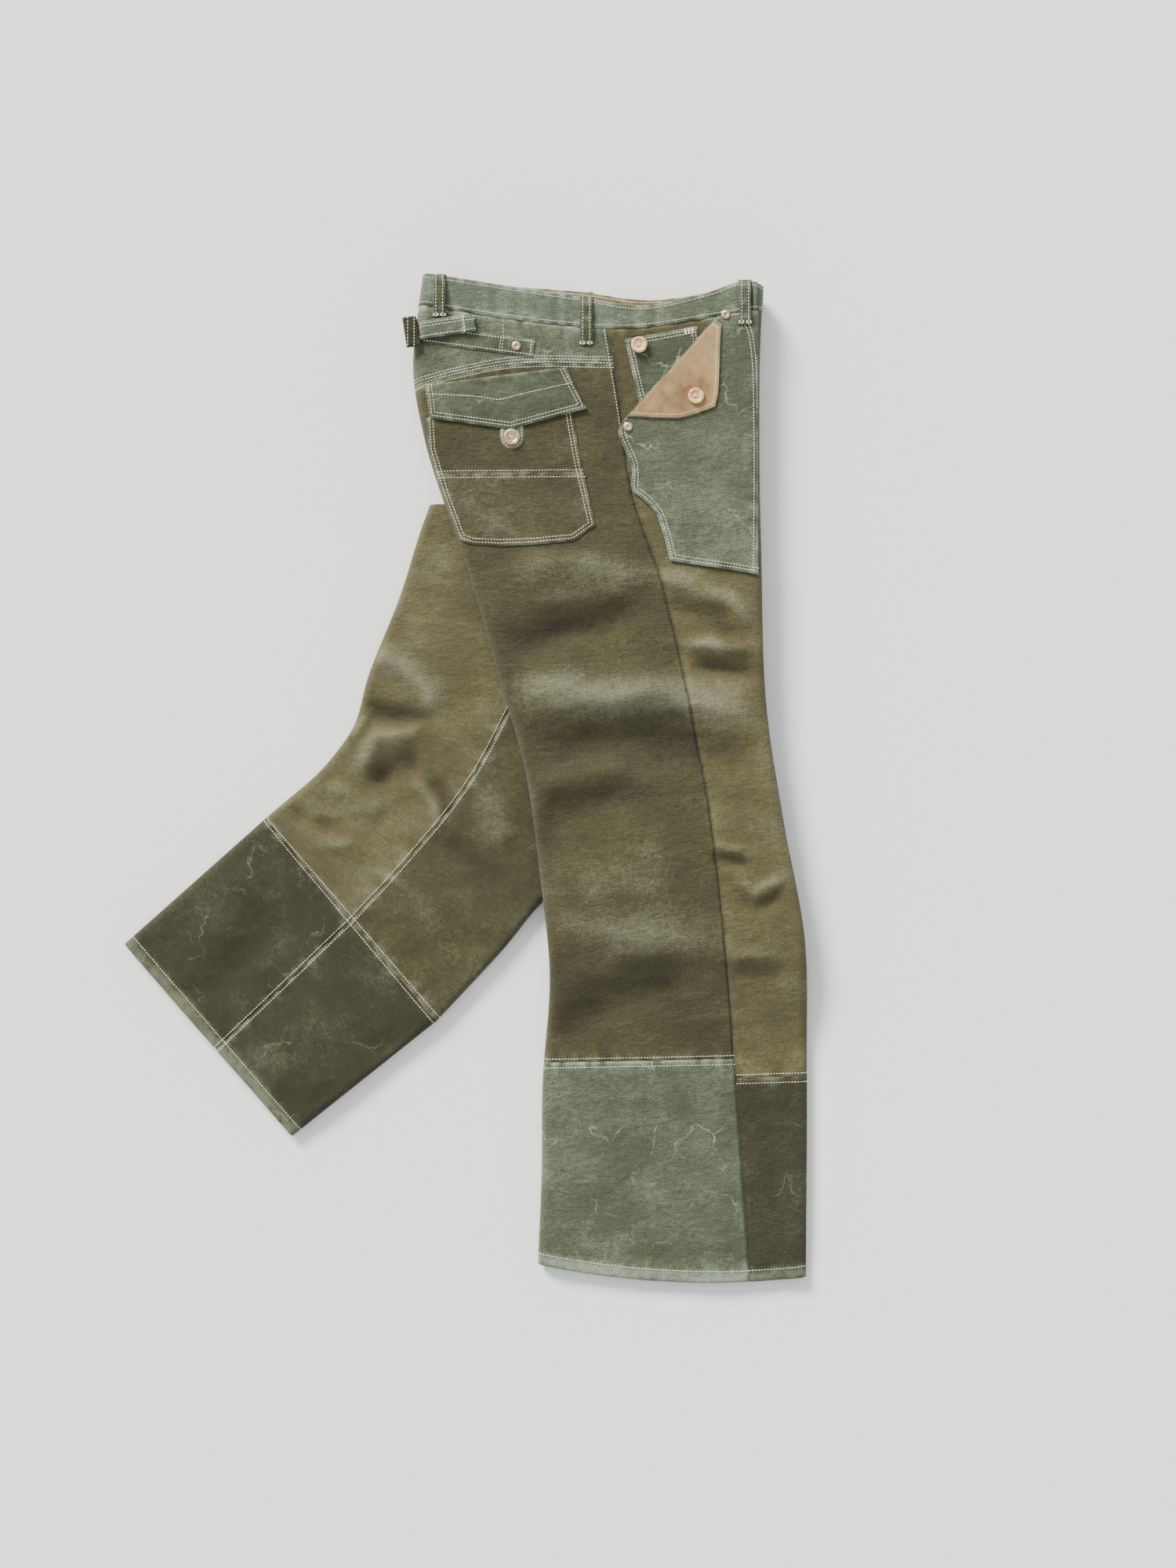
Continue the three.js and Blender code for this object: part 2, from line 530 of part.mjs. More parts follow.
function buildFrontPocket(side, parent, closed) {
  const holeAt = fromMouth(-13.5, 41.5);
  const closingAt = fromMouth(-13.5, -41.5);
  const clearance = 2 * GAP;

  const coinTop = at(174, 476.5);
  const coin = [
    [0, 0], [COIN_POCKET.width, 14.5], [1.2 * COIN_POCKET.width, -0.82 * COIN_POCKET.depth],
    [0.28 * COIN_POCKET.width, -COIN_POCKET.depth],
  ].map(([x, y]) => new THREE.Vector2(coinTop.x + x, coinTop.y + y));
  addPiece(`${side}_coin_pocket`, flatSolid(coin, ply(0), ply(0) + CLOTH), fadedCanvas, parent);

  const folded = flyFold(gradeY(400)) - FOLD_ROUND - clearance;
  const waist = (x) => new THREE.Vector2(x, bandFoot(x) - 2 * clearance);
  const patch = [
    waist(fromMouth(66, clearance).x), fromMouth(66, clearance), fromMouth(-87, clearance),
    fromMouth(-100, 7), at(181, 313), at(193, 305), at(209, 286), at(217, 261), at(223, 237),
    new THREE.Vector2(folded, gradeY(222)), waist(folded),
  ];
  addPiece(`${side}_front_patch`, flatSolid(patch, ply(1), ply(1) + CLOTH), fadedCanvas, parent);

  const fold = new THREE.Group();
  const pivot = new THREE.Vector3(MOUTH.point.x, MOUTH.point.y, FOLD_HEIGHT);
  const axis = new THREE.Vector3(MOUTH.along.x, MOUTH.along.y, 0);
  fold.position.copy(pivot);
  fold.quaternion.setFromAxisAngle(axis, closed ? Math.PI : 0);
  parent.add(fold);
  const flap = [
    fromMouth(60, clearance), fromMouth(63, 10), fromMouth(20, 46), fromMouth(-8, 65),
    fromMouth(-45, 43), fromMouth(-80, clearance),
  ];
  const hole = [{ centre: holeAt, radius: BUTTON_RADIUS + HOLE_SPARE }];
  const layer = (low, thickness) =>
    flatSolid(flap, low, low + thickness, hole).translate(pivot.clone().negate().toArray());
  addPiece(`${side}_corner_flap`, layer(ply(2), CLOTH), fadedCanvas, fold);
  addPiece(`${side}_corner_lining`, layer(ply(2) + CLOTH + GAP, TWILL), twill, fold);
  addPiece(`${side}_hold_button`, button(holeAt, ply(2)), horn, parent);
  addPiece(`${side}_closing_button`, button(closingAt, ply(1)), horn, parent);

  const rivetReach = RIVET_RADIUS + 1;
  addPiece(`${side}_waist_rivet`, rivet(fromMouth(74, rivetReach), ply(2)), copper, parent);
  addPiece(`${side}_side_rivet`, rivet(fromMouth(-87, rivetReach + 3), ply(2)), copper, parent);
}

// ---- Cinch --------------------------------------------------------------------------------------

const CINCH_DROP = { seat: 32, side: 29 }; // its middle, below the waistband's foot
const cinchPoint = (x, drop) => new THREE.Vector2(x, bandFoot(x) - drop);
const CINCH_SEAT = cinchPoint(seatFold(gradeY(484)) + FOLD_ROUND, CINCH_DROP.seat);
const CINCH_SIDE = cinchPoint(gradeX(75), CINCH_DROP.side);
const TAIL_RISE = 0.15;

// A strip of cloth of one width between two points, as an outline.
function strip(from, to, width) {
  const across = to.clone().sub(from).normalize().multiplyScalar(width / 2);
  const edge = new THREE.Vector2(-across.y, across.x);
  return [from.clone().add(edge), to.clone().add(edge), to.clone().sub(edge), from.clone().sub(edge)];
}

function buildCinch() {
  const strapLength = CINCH_SEAT.distanceTo(CINCH_SIDE);
  const slant = (CINCH_SEAT.y - CINCH_SIDE.y) / strapLength;
  const start = CINCH_SEAT.clone().lerp(CINCH_SIDE, (2 * GAP + (slant * CINCH_WIDTH) / 2) / strapLength);
  const strap = strip(start, CINCH_SIDE, CINCH_WIDTH);
  addPiece("right_cinch_strap", flatSolid(strap, ply(0), ply(0) + CLOTH), fadedCanvas, rightDetails);

  // The left strap comes round the seat fold from the underside and stops against the right one.
  const lineAt = (x) => THREE.MathUtils.mapLinear(x, CINCH_SEAT.x, CINCH_SIDE.x, CINCH_SEAT.y, CINCH_SIDE.y);
  const half = CINCH_WIDTH / 2;
  const edge = (offset) => hipTube(CINCH_SEAT.y, (x) => lineAt(x) - CINCH_SEAT.y + offset);
  const rounds = (tube) => {
    const end = roundAt(tube, (CINCH_SIDE.x - tube.seat.x) / tube.seat.distanceTo(tube.fly));
    return [3 - end, 3 - end / 2, 3, 3.25, 3.5, 3.75, 4];
  };
  const leftStrap = clothOnTubes([edge(half), edge(-half)], rounds, () => [-ply(1) + GAP, -ply(0)]);
  addPiece("left_cinch_strap", leftStrap, fadedCanvas);

  const tailSeat = new THREE.Vector2(CINCH_SEAT.x, CINCH_SEAT.y + 2);
  const tailAlong = new THREE.Vector2(1, TAIL_RISE).normalize();
  const bucklePoint = (along) => tailSeat.clone().addScaledVector(tailAlong, along);
  const frame = strip(bucklePoint(-BUCKLE_REACH), bucklePoint(0), BUCKLE_LENGTH);
  const [barSeat, barSide] = [bucklePoint(BUCKLE_BAR - BUCKLE_REACH), bucklePoint(-BUCKLE_BAR)];
  const opening = strip(barSeat, barSide, BUCKLE_LENGTH - 2 * BUCKLE_BAR);
  const buckle = flatSolid(frame, ply(1), ply(1) + BUCKLE_DEPTH);
  const window = flatSolid(opening, 0, ply(1) + 2 * BUCKLE_DEPTH);
  addPiece("cinch_buckle", buckle.subtract(window), darkMetal, rightDetails);
  const tail = strip(bucklePoint(GAP), bucklePoint(TAIL_LENGTH), CINCH_WIDTH);
  const tailLow = ply(1) + BUCKLE_DEPTH + GAP;
  addPiece("cinch_tail", flatSolid(tail, tailLow, tailLow + CLOTH), bandCanvas, rightDetails);

  const rivetAt = CINCH_SIDE.clone().lerp(CINCH_SEAT, CINCH_WIDTH / strapLength);
  addPiece("right_cinch_rivet", rivet(rivetAt, ply(1)), copper, rightDetails);
  addPiece("left_cinch_rivet", rivet(rivetAt, ply(1)), copper, leftDetails);
}

// ---- Fly ----------------------------------------------------------------------------------------

// Inside the fly fold, under the right front panel: the facing, the shield and the buttons between them.
function buildFly() {
  const fly = flyFold(gradeY(400)) - FOLD_ROUND - 2 * GAP;
  const [top, foot] = [gradeY(499), gradeY(345)];
  const round = FLY_FACING / 2;
  const flyOutline = (height) => [
    new THREE.Vector2(fly - FLY_FACING, height), new THREE.Vector2(fly - FLY_FACING, foot + round),
    new THREE.Vector2(fly - round, foot), new THREE.Vector2(fly, foot), new THREE.Vector2(fly, height),
  ];
  const facingTop = HIP_TOP - CLOTH - GAP;
  addPiece("fly_facing", flatSolid(flyOutline(top), facingTop - CLOTH, facingTop), canvas);
  const buttonTop = Math.min(facingTop - CLOTH, HIP_TOP - BAND_CLOTH + BAND_PROUD - 2 * GAP - TWILL) - GAP;
  const shieldTop = buttonTop - FLY_BUTTON_DEPTH - GAP;
  const shieldEnd = gradeY(533);
  addPiece("fly_shield", flatSolid(flyOutline(shieldEnd), shieldTop - CLOTH, shieldTop), canvas);
  const middle = fly - FLY_FACING / 2;
  [470, 425, 380].forEach((y, i) => {
    const centre = new THREE.Vector2(middle, gradeY(y));
    const solid = button(centre, shieldTop + GAP, FLY_BUTTON_RADIUS, FLY_BUTTON_DEPTH);
    addPiece(`fly_button_${i + 1}`, solid, horn);
  });
  const waistAt = new THREE.Vector2(middle, shieldEnd - BUTTON_RADIUS - 2);
  addPiece("waist_button", button(waistAt, shieldTop + GAP, BUTTON_RADIUS, FLY_BUTTON_DEPTH), horn);
}

buildPanels();
buildWaistband();
buildCinch();
buildFly();
for (const [side, parent, closed] of [["right", rightDetails, false], ["left", leftDetails, true]]) {
  buildBeltLoops(side, parent);
  buildBackPocket(side, parent);
  buildFrontPocket(side, parent, closed);
}

export default trousers;
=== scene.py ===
"""Wide-leg duck canvas work trousers with a cinch back, lying flat on their left side.

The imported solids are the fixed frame. Every cloth piece is rebuilt here as a thin sheet that follows
the folds of the garment, with its seams, stitching and buttons. Lengths are in millimetres until a
mesh is made, where they become metres. +Y runs from the hems to the waist, +X from the seat to the fly.
"""

from __future__ import annotations

import json
import logging
import math
from collections.abc import Callable, Sequence
from dataclasses import dataclass, field
from enum import Enum

import bpy
import numpy as np
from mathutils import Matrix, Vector
from mathutils.bvhtree import BVHTree

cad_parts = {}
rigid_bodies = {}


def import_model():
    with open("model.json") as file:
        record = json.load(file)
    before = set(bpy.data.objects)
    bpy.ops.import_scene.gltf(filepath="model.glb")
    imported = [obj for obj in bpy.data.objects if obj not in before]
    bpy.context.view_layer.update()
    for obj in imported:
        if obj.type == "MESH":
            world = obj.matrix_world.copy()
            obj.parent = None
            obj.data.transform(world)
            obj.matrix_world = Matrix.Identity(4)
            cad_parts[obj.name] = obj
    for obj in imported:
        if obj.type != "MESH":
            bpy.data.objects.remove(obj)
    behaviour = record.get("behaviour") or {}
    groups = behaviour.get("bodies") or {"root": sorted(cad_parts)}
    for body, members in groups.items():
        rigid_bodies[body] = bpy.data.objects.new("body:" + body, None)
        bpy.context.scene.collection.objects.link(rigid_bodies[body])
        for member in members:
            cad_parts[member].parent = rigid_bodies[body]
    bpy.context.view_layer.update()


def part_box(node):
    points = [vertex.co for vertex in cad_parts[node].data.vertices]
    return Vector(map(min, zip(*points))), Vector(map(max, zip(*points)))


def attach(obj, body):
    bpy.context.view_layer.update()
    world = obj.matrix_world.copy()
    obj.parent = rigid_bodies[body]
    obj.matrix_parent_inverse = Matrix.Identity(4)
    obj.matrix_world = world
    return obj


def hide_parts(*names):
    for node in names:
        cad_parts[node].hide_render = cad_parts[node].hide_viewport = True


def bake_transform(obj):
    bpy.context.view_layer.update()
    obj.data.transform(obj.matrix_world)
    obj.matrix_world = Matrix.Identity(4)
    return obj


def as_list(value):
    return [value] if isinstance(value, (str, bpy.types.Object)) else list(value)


log = logging.getLogger("trousers")
MM = 0.001
Array = np.ndarray
Point = tuple[float, float]


class Side(Enum):
    """Which side of the garment a detail is sewn to."""

    RIGHT = "right"
    LEFT = "left"


class Body(Enum):
    """The rigid bodies that pieces ride on."""

    ROOT = "root"
    LEFT_LEG = "left_leg"
    RIGHT_BACK_FLAP = "right_back_flap"
    LEFT_BACK_FLAP = "left_back_flap"
    RIGHT_CORNER = "right_corner_flap"
    LEFT_CORNER = "left_corner_flap"
    CINCH_TAIL = "cinch_tail"


class Held(Enum):
    LAID = "laid"
    FOLDED = "folded"


# ---- Curves and noise ---------------------------------------------------------------------------


@dataclass(frozen=True)
class Line:
    """A smooth curve through knots (place, value), read at any place along it."""

    knots: tuple[Point, ...]

    def __call__(self, place: Array | float) -> Array:
        """Reads the curve.

        Args:
            place: Places along it, held at its ends beyond them.

        Returns:
            The curve's values there.
        """
        s, v = np.array(self.knots, float).T
        i = np.clip(np.searchsorted(s, place, side="left") - 1, 0, len(s) - 2)
        before, after = np.maximum(np.arange(len(s)) - 1, 0), np.minimum(np.arange(len(s)) + 1, len(s) - 1)
        slope = (v[after] - v[before]) / (s[after] - s[before])
        h = s[i + 1] - s[i]
        t = np.clip((place - s[i]) / h, 0, 1)
        ends = (2 * t**3 - 3 * t**2 + 1) * v[i] + (3 * t**2 - 2 * t**3) * v[i + 1]
        return ends + h * ((t**3 - 2 * t**2 + t) * slope[i] + (t**3 - t**2) * slope[i + 1])


def ease(value: Array | float, low: float, high: float) -> Array:
    """A smooth step from 0 at low to 1 at high, falling instead where high is under low."""
    t = np.clip((np.asarray(value, float) - low) / (high - low), 0, 1)
    return t * t * (3 - 2 * t)


def mix(a: Array | float, b: Array | float, share: Array | float) -> Array:
    """The value a share of the way from a to b."""
    return a + (b - a) * share


class Noise:
    """Smooth value noise on a square lattice, the same at every run."""

    def __init__(self, seed: int, pitch: float) -> None:
        """Makes the lattice.

        Args:
            seed: Picks the pattern.
            pitch: Lattice spacing in millimetres.
        """
        self.values = np.random.default_rng(seed).uniform(-1, 1, (64, 64))
        self.pitch = pitch

    def __call__(self, x: Array | float, y: Array | float) -> Array:
        """Noise from -1 to 1 at places x, y."""
        x, y = np.broadcast_arrays(np.asarray(x, float) / self.pitch, np.asarray(y, float) / self.pitch)
        i, j = np.floor(x).astype(int), np.floor(y).astype(int)
        u, v = x - i, y - j
        u, v = u * u * (3 - 2 * u), v * v * (3 - 2 * v)
        read = lambda a, b: self.values[a % 64, b % 64]  # noqa: E731
        low = mix(read(i, j), read(i + 1, j), u)
        return mix(low, mix(read(i, j + 1), read(i + 1, j + 1), u), v)


def resample(path: Sequence[Point] | Array, count: int) -> Array:
    """Evenly spaced points along a polyline.

    Args:
        path: Its corners.
        count: How many points, ends included.

    Returns:
        A (count, 2) or (count, 3) array.
    """
    p = np.array(path, float)
    run = np.concatenate([[0], np.cumsum(np.linalg.norm(np.diff(p, axis=0), axis=1))])
    at = np.linspace(0, run[-1], count)
    return np.stack([np.interp(at, run, p[:, k]) for k in range(p.shape[1])], 1)


def rounded(path: Sequence[Point], per_side: int = 8) -> Array:
    """A curve through the corners of a polyline, without its kinks.

    Args:
        path: The corners.
        per_side: Points between two corners.

    Returns:
        The curve's points.
    """
    p = np.array(path, float)
    run = tuple(np.arange(len(p)))
    at = np.linspace(0, len(p) - 1, (len(p) - 1) * per_side + 1)
    return np.stack([Line(tuple(zip(run, p[:, k], strict=True)))(at) for k in range(2)], 1)


# ---- The folds in the cloth ---------------------------------------------------------------------


@dataclass(frozen=True)
class Fold:
    """A ridge in the cloth, or a hollow where its height is negative.

    Attributes:
        path: The fold's line, from its start to its end.
        height: Its height in millimetres.
        left: How wide it is on the left of its line, looking along it.
        right: How wide it is on the right.
        fade: How much paler its cloth is, partly from fading and partly as painted light; where it is negative, how
            much darker, as painted shade.
    """

    path: tuple[Point, ...]
    height: float
    left: float
    right: float
    fade: float = 0.0


class Relief:
    """Heights of a lying cloth, and its fading with painted light on the ridges and painted shade in the hollows, drawn
    once on a grid and read anywhere.
    """

    STEP = 2.5
    LOW = (-400.0, -570.0)
    HIGH = (400.0, 570.0)

    def __init__(self, folds: Sequence[Fold], seed: int, crumple: float, depth: float, bleach: float) -> None:
        """Draws the folds.

        Args:
            folds: The folds in the cloth.
            seed: Picks the small crumples.
            crumple: Height of the small crumples.
            depth: Multiplies the folds' heights.
            bleach: Multiplies the folds' fading and their painted light and shade.
        """
        self.x = np.arange(self.LOW[0], self.HIGH[0], self.STEP)
        self.y = np.arange(self.LOW[1], self.HIGH[1], self.STEP)
        gx, gy = np.meshgrid(self.x, self.y, indexing="ij")
        self.height = np.zeros_like(gx)
        self.fade = np.zeros_like(gx)
        wander = Noise(seed + 5, 46)
        wx, wy = gx + 7 * wander(gx, gy), gy + 7 * wander(gx + 900, gy)
        for fold in folds:
            self._draw(fold, wx, wy)
        self.height *= depth
        self.fade *= bleach
        broad, fine = Noise(seed, 52), Noise(seed + 1, 17)
        creases = 1 - 2 * np.abs(Noise(seed + 2, 34)(gx * 0.7, gy * 1.5))
        self.height += crumple * (0.8 * broad(gx * 0.8, gy * 1.4) + 0.28 * fine(gx * 0.7, gy * 1.3) + 0.35 * creases)
        self.fade += 0.05 * broad(gx + 300, gy) + 0.03 * creases

    def _draw(self, fold: Fold, gx: Array, gy: Array) -> None:
        """Adds one fold to the grids."""
        line = rounded(fold.path, 7) if len(fold.path) > 2 else resample(fold.path, 9)
        reach = 3.2 * max(fold.left, fold.right)
        low, high = line.min(0) - reach, line.max(0) + reach
        near = (gx > low[0]) & (gx < high[0]) & (gy > low[1]) & (gy < high[1])
        p = np.stack([gx[near], gy[near]], 1)
        best, side, along = np.full(len(p), 1e9), np.ones(len(p)), np.zeros(len(p))
        run = np.concatenate([[0], np.cumsum(np.linalg.norm(np.diff(line, axis=0), axis=1))])
        for k in range(len(line) - 1):
            d = line[k + 1] - line[k]
            t = np.clip(((p - line[k]) @ d) / (d @ d), 0, 1)
            off = p - line[k] - t[:, None] * d
            gap = np.linalg.norm(off, axis=1)
            closer = gap < best
            best[closer] = gap[closer]
            side[closer] = np.sign(d[0] * off[:, 1] - d[1] * off[:, 0])[closer]
            along[closer] = (run[k] + t * np.linalg.norm(d))[closer]
        width = np.where(side > 0, fold.left, fold.right)
        ends = ease(along, -0.02 * run[-1], 0.25 * run[-1]) * ease(along, 1.02 * run[-1], 0.75 * run[-1])
        shape = np.exp(-((best / width) ** 2)) * (0.15 + 0.85 * ends)
        self.height[near] += fold.height * shape
        # Painted light and shade: a fold pales its ridge, partly as real fading and partly as painted light, and
        # darkens its hollow as painted shade.
        self.fade[near] += fold.fade * shape

    def read(self, grid: Array, x: Array, y: Array) -> Array:
        """Reads one of the grids at places x, y."""
        u = np.clip((np.asarray(x, float) - self.LOW[0]) / self.STEP, 0, len(self.x) - 1.001)
        v = np.clip((np.asarray(y, float) - self.LOW[1]) / self.STEP, 0, len(self.y) - 1.001)
        i, j = u.astype(int), v.astype(int)
        u, v = u - i, v - j
        return mix(mix(grid[i, j], grid[i + 1, j], u), mix(grid[i, j + 1], grid[i + 1, j + 1], u), v)


RIGHT_FOLDS = (
    # Across the seat under the back pocket.
    Fold(((40, 222), (120, 230), (212, 222)), 3.2, 15, 20, 0.2),
    Fold(((30, 150), (110, 158), (202, 192)), -4.5, 18, 16, -0.26),
    Fold(((60, 186), (130, 196), (190, 206)), 1.2, 10, 8, 0.05),
    # From the foot of the front patch towards the fly.
    Fold(((205, 226), (250, 207), (286, 191), (322, 160)), 3.4, 12, 9, 0.22),
    Fold(((214, 196), (262, 178), (322, 128)), -2.6, 12, 10, -0.2),
    Fold(((240, 146), (285, 148), (326, 143)), 3.6, 10, 7, 0.25),
    Fold(((246, 122), (290, 122), (328, 116)), -4.0, 11, 10, -0.3),
    # The broad swell across the thigh and the hollow under it.
    Fold(((36, 86), (115, 92), (190, 92), (262, 82), (338, 68)), 5.6, 26, 17, 0.34),
    Fold(((56, 36), (140, 44), (240, 38), (330, 26)), -5.0, 20, 24, -0.24),
    Fold(((70, -38), (140, -28), (200, -2)), -3.2, 20, 22, -0.14),
    Fold(((70, -8), (150, 4), (226, 6)), 1.6, 13, 12, 0.02),
    # Below the knee.
    Fold(((74, -108), (150, -120), (240, -112)), 3.4, 30, 30, 0.14),
    Fold(((84, -160), (160, -170), (262, -168)), 1.4, 26, 22, 0.16),
    Fold(((86, -280), (160, -244), (250, -194)), -3.4, 26, 24, -0.16),
    # Crumples on the front of the shin.
    Fold(((266, -62), (285, -74), (304, -80)), 2.2, 6, 6, 0.12),
    Fold(((270, -78), (290, -90), (312, -96)), -2.2, 7, 7, -0.14),
    Fold(((290, -98), (312, -122), (332, -112), (356, -94)), 2.6, 7, 8, 0.14),
    Fold(((296, -118), (318, -140), (350, -118)), -2.4, 8, 9, -0.14),
    Fold(((284, -196), (306, -192), (330, -186)), 1.8, 8, 8, 0.1),
    Fold(((286, -214), (316, -212), (352, -204)), -1.6, 10, 10, -0.08),
    Fold(((330, 66), (342, 0), (352, -60)), 1.4, 12, 12, 0.08),
    # Soft waves in the cuffs.
    Fold(((100, -360), (150, -400), (176, -470)), 1.6, 22, 26, 0.02),
    Fold(((200, -350), (226, -430), (228, -520)), -1.8, 26, 20, -0.02),
    Fold(((262, -352), (276, -440), (280, -530)), 1.4, 18, 12, 0.02),
    Fold(((330, -350), (338, -430), (350, -520)), -1.4, 16, 18, -0.02),
)
LEFT_FOLDS = (
    Fold(((-66, 214), (-40, 236), (-8, 262)), 2.4, 14, 14, 0.1),
    Fold(((-98, 152), (-62, 118), (-28, 72)), 4.2, 15, 11, 0.26),
    Fold(((-110, 84), (-66, 66), (-26, 62)), -4.6, 11, 11, -0.3),
    Fold(((-118, 8), (-100, 34), (-84, 48), (-28, 62)), 4.2, 9, 12, 0.26),
    Fold(((-124, 40), (-108, 62), (-92, 82)), 2.2, 9, 9, 0.1),
    Fold(((-104, -4), (-76, 16), (-40, 22)), -3.8, 12, 14, -0.26),
    Fold(((-150, 6), (-120, -22), (-80, -30)), 2.6, 12, 12, 0.12),
    Fold(((-176, -40), (-160, -66), (-120, -72)), 2.4, 9, 9, 0.12),
    Fold(((-190, -30), (-170, -52), (-140, -56)), -2.4, 8, 8, -0.14),
    Fold(((-56, 10), (-40, -14), (-28, -44)), 3.0, 10, 9, 0.2),
    Fold(((-34, 8), (-22, -14), (-14, -40)), -2.8, 9, 9, -0.2),
    Fold(((12, 18), (30, -30), (40, -90)), 2.6, 14, 14, 0.14),
    Fold(((-20, -60), (10, -90), (44, -130)), -2.2, 14, 16, -0.14),
    Fold(((-84, -86), (-50, -130), (-20, -180)), 2.2, 16, 20, 0.1),
    Fold(((-60, -150), (-40, -190), (-20, -240)), -1.8, 16, 16, -0.06),
    Fold(((-240, -80), (-250, -130), (-300, -190)), 1.8, 22, 26, 0.05),
    Fold(((-190, -150), (-240, -190), (-300, -250)), -1.8, 22, 20, -0.05),
    Fold(((-120, -230), (-170, -280), (-230, -350)), 1.8, 22, 24, 0.05),
    Fold(((-60, -270), (-110, -320), (-180, -370)), -1.4, 18, 18, -0.05),
)


# ---- Where the cloth lies -----------------------------------------------------------------------


@dataclass
class Pattern:
    """The garment's outline and heights, read from the frame and shared by every piece."""

    seat_fold: Line = Line((
        (-531, 79), (-430, 83), (-332, 84), (-217, 92), (-124, 84), (8, 66),
        (97, 41), (216, 7), (301, -23), (369, -44), (450, -57), (549, -46),
    ))
    fly_fold: Line = Line((
        (-545, 373), (-319, 374), (-175, 370), (-47, 347), (80, 328), (221, 323), (437, 321), (540, 325),
    ))
    side_seam: Line = Line((
        (-548, 311), (-367, 298), (-223, 287), (-42, 267), (88, 243), (210, 215), (313, 181), (389, 171), (488, 155),
    ))
    band_top: Line = Line(((-46, 549), (44, 535), (125, 523), (193, 513.5), (261, 527), (301, 540), (326, 536)))
    band_foot: Line = Line(((-50, 516), (30, 502.5), (125, 491), (193, 490), (301, 507), (326, 510)))
    yoke_seam: Line = Line(((-57, 425), (-10, 438), (57, 450), (165, 450)))
    far_side: Line = Line(((-50, 0), (50, 6), (130, 11.5), (190, 12), (250, 6), (326, 0)))
    cloth: float = 1.2
    seam: float = 0.15
    crotch: float = 262.0
    cuff_back: float = -310.0
    cuff_front: float = -327.0
    hem_bow: float = -12.0
    hip_top: float = field(init=False)
    underside: float = field(init=False)
    leg_depth: float = field(init=False)
    relief: Relief = field(init=False)
    left_relief: Relief = field(init=False)

    def __post_init__(self) -> None:
        """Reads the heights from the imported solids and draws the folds."""
        self.hip_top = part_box("right_yoke")[1].z / MM
        self.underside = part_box("left_yoke")[0].z / MM
        self.leg_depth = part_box("right_back_cuff")[1].z / MM
        self.relief = Relief(RIGHT_FOLDS, 11, 1.7, 1.8, 1.0)
        self.left_relief = Relief(LEFT_FOLDS, 23, 1.7, 1.7, 1.0)

    @property
    def hip_middle(self) -> float:
        """Height of the seat and fly folds of the hip."""
        return (self.hip_top + self.underside) / 2

    def raised(self, y: Array) -> Array:
        """How far the underside of the right leg stands off the floor at a height y on the garment."""
        return ease(y, -300, -165) * (self.hip_top - self.leg_depth)

    def hem(self, x: Array) -> Array:
        """The right hem's line."""
        share = np.clip((x - 79) / (373 - 79), 0, 1)
        return mix(-531.0, -545.0, share) + 4 * self.hem_bow * share * (1 - share)

    def calm(self, x: Array, y: Array) -> Array:
        """How much of the folds' height is left: little on the hip, and none where the corner flap turns over."""
        hip = mix(0.22, 1.0, ease(y, 300, 225)) * (1 - ease(x, 140, 165) * ease(y, 345, 375))
        folds = ease(x - self.seat_fold(y), 0, 26) * ease(self.fly_fold(y) - x, 0, 26)
        return hip * folds

    def ground(self, x: Array, y: Array) -> Array:
        """Height of the right side's outer face, folds included."""
        x, y = np.asarray(x, float), np.asarray(y, float)
        low = self.raised(y)
        hip = ease(y, self.crotch - 20, self.crotch + 45)
        top = low + self.leg_depth + self.hem_sag(y)
        middle = mix(low + self.leg_depth / 2, self.hip_middle, hip)
        reach = mix(9.0, 13.0, hip)
        edge = np.minimum(x - self.seat_fold(y), self.fly_fold(y) - x)
        over = np.clip(1 - edge / reach, 0, 1)
        return middle + (top - middle) * np.sqrt(1 - over**2) + self.relief.read(self.relief.height, x, y) * self.calm(x, y)

    def hem_sag(self, y: Array) -> Array:
        """The leg settles towards its hem."""
        return -3.0 * ease(y, -470, -540)

    def on(self, side: Side, x: Array, y: Array, lift: Array | float) -> Array:
        """Height of a point that stands off the hip's outer face by lift, on either side."""
        if side is Side.RIGHT:
            return self.ground(x, y) + lift
        return self.underside - lift + 0.0 * np.asarray(x, float)

    def tint(self, x: Array, y: Array) -> Array:
        """How faded the right side's cloth is at a place, with the folds' painted light and painted shade."""
        return self.relief.read(self.relief.fade, x, y)


@dataclass(frozen=True)
class Station:
    """One place along the left leg.

    Attributes:
        seat: Its seat edge.
        fly: Its fly edge.
        outer: The side seam's share of the width.
        inner: The inseam's share of the width.
        raised: How much of the hip's height off the floor it keeps.
    """

    seat: Point
    fly: Point
    outer: float
    inner: float
    raised: float


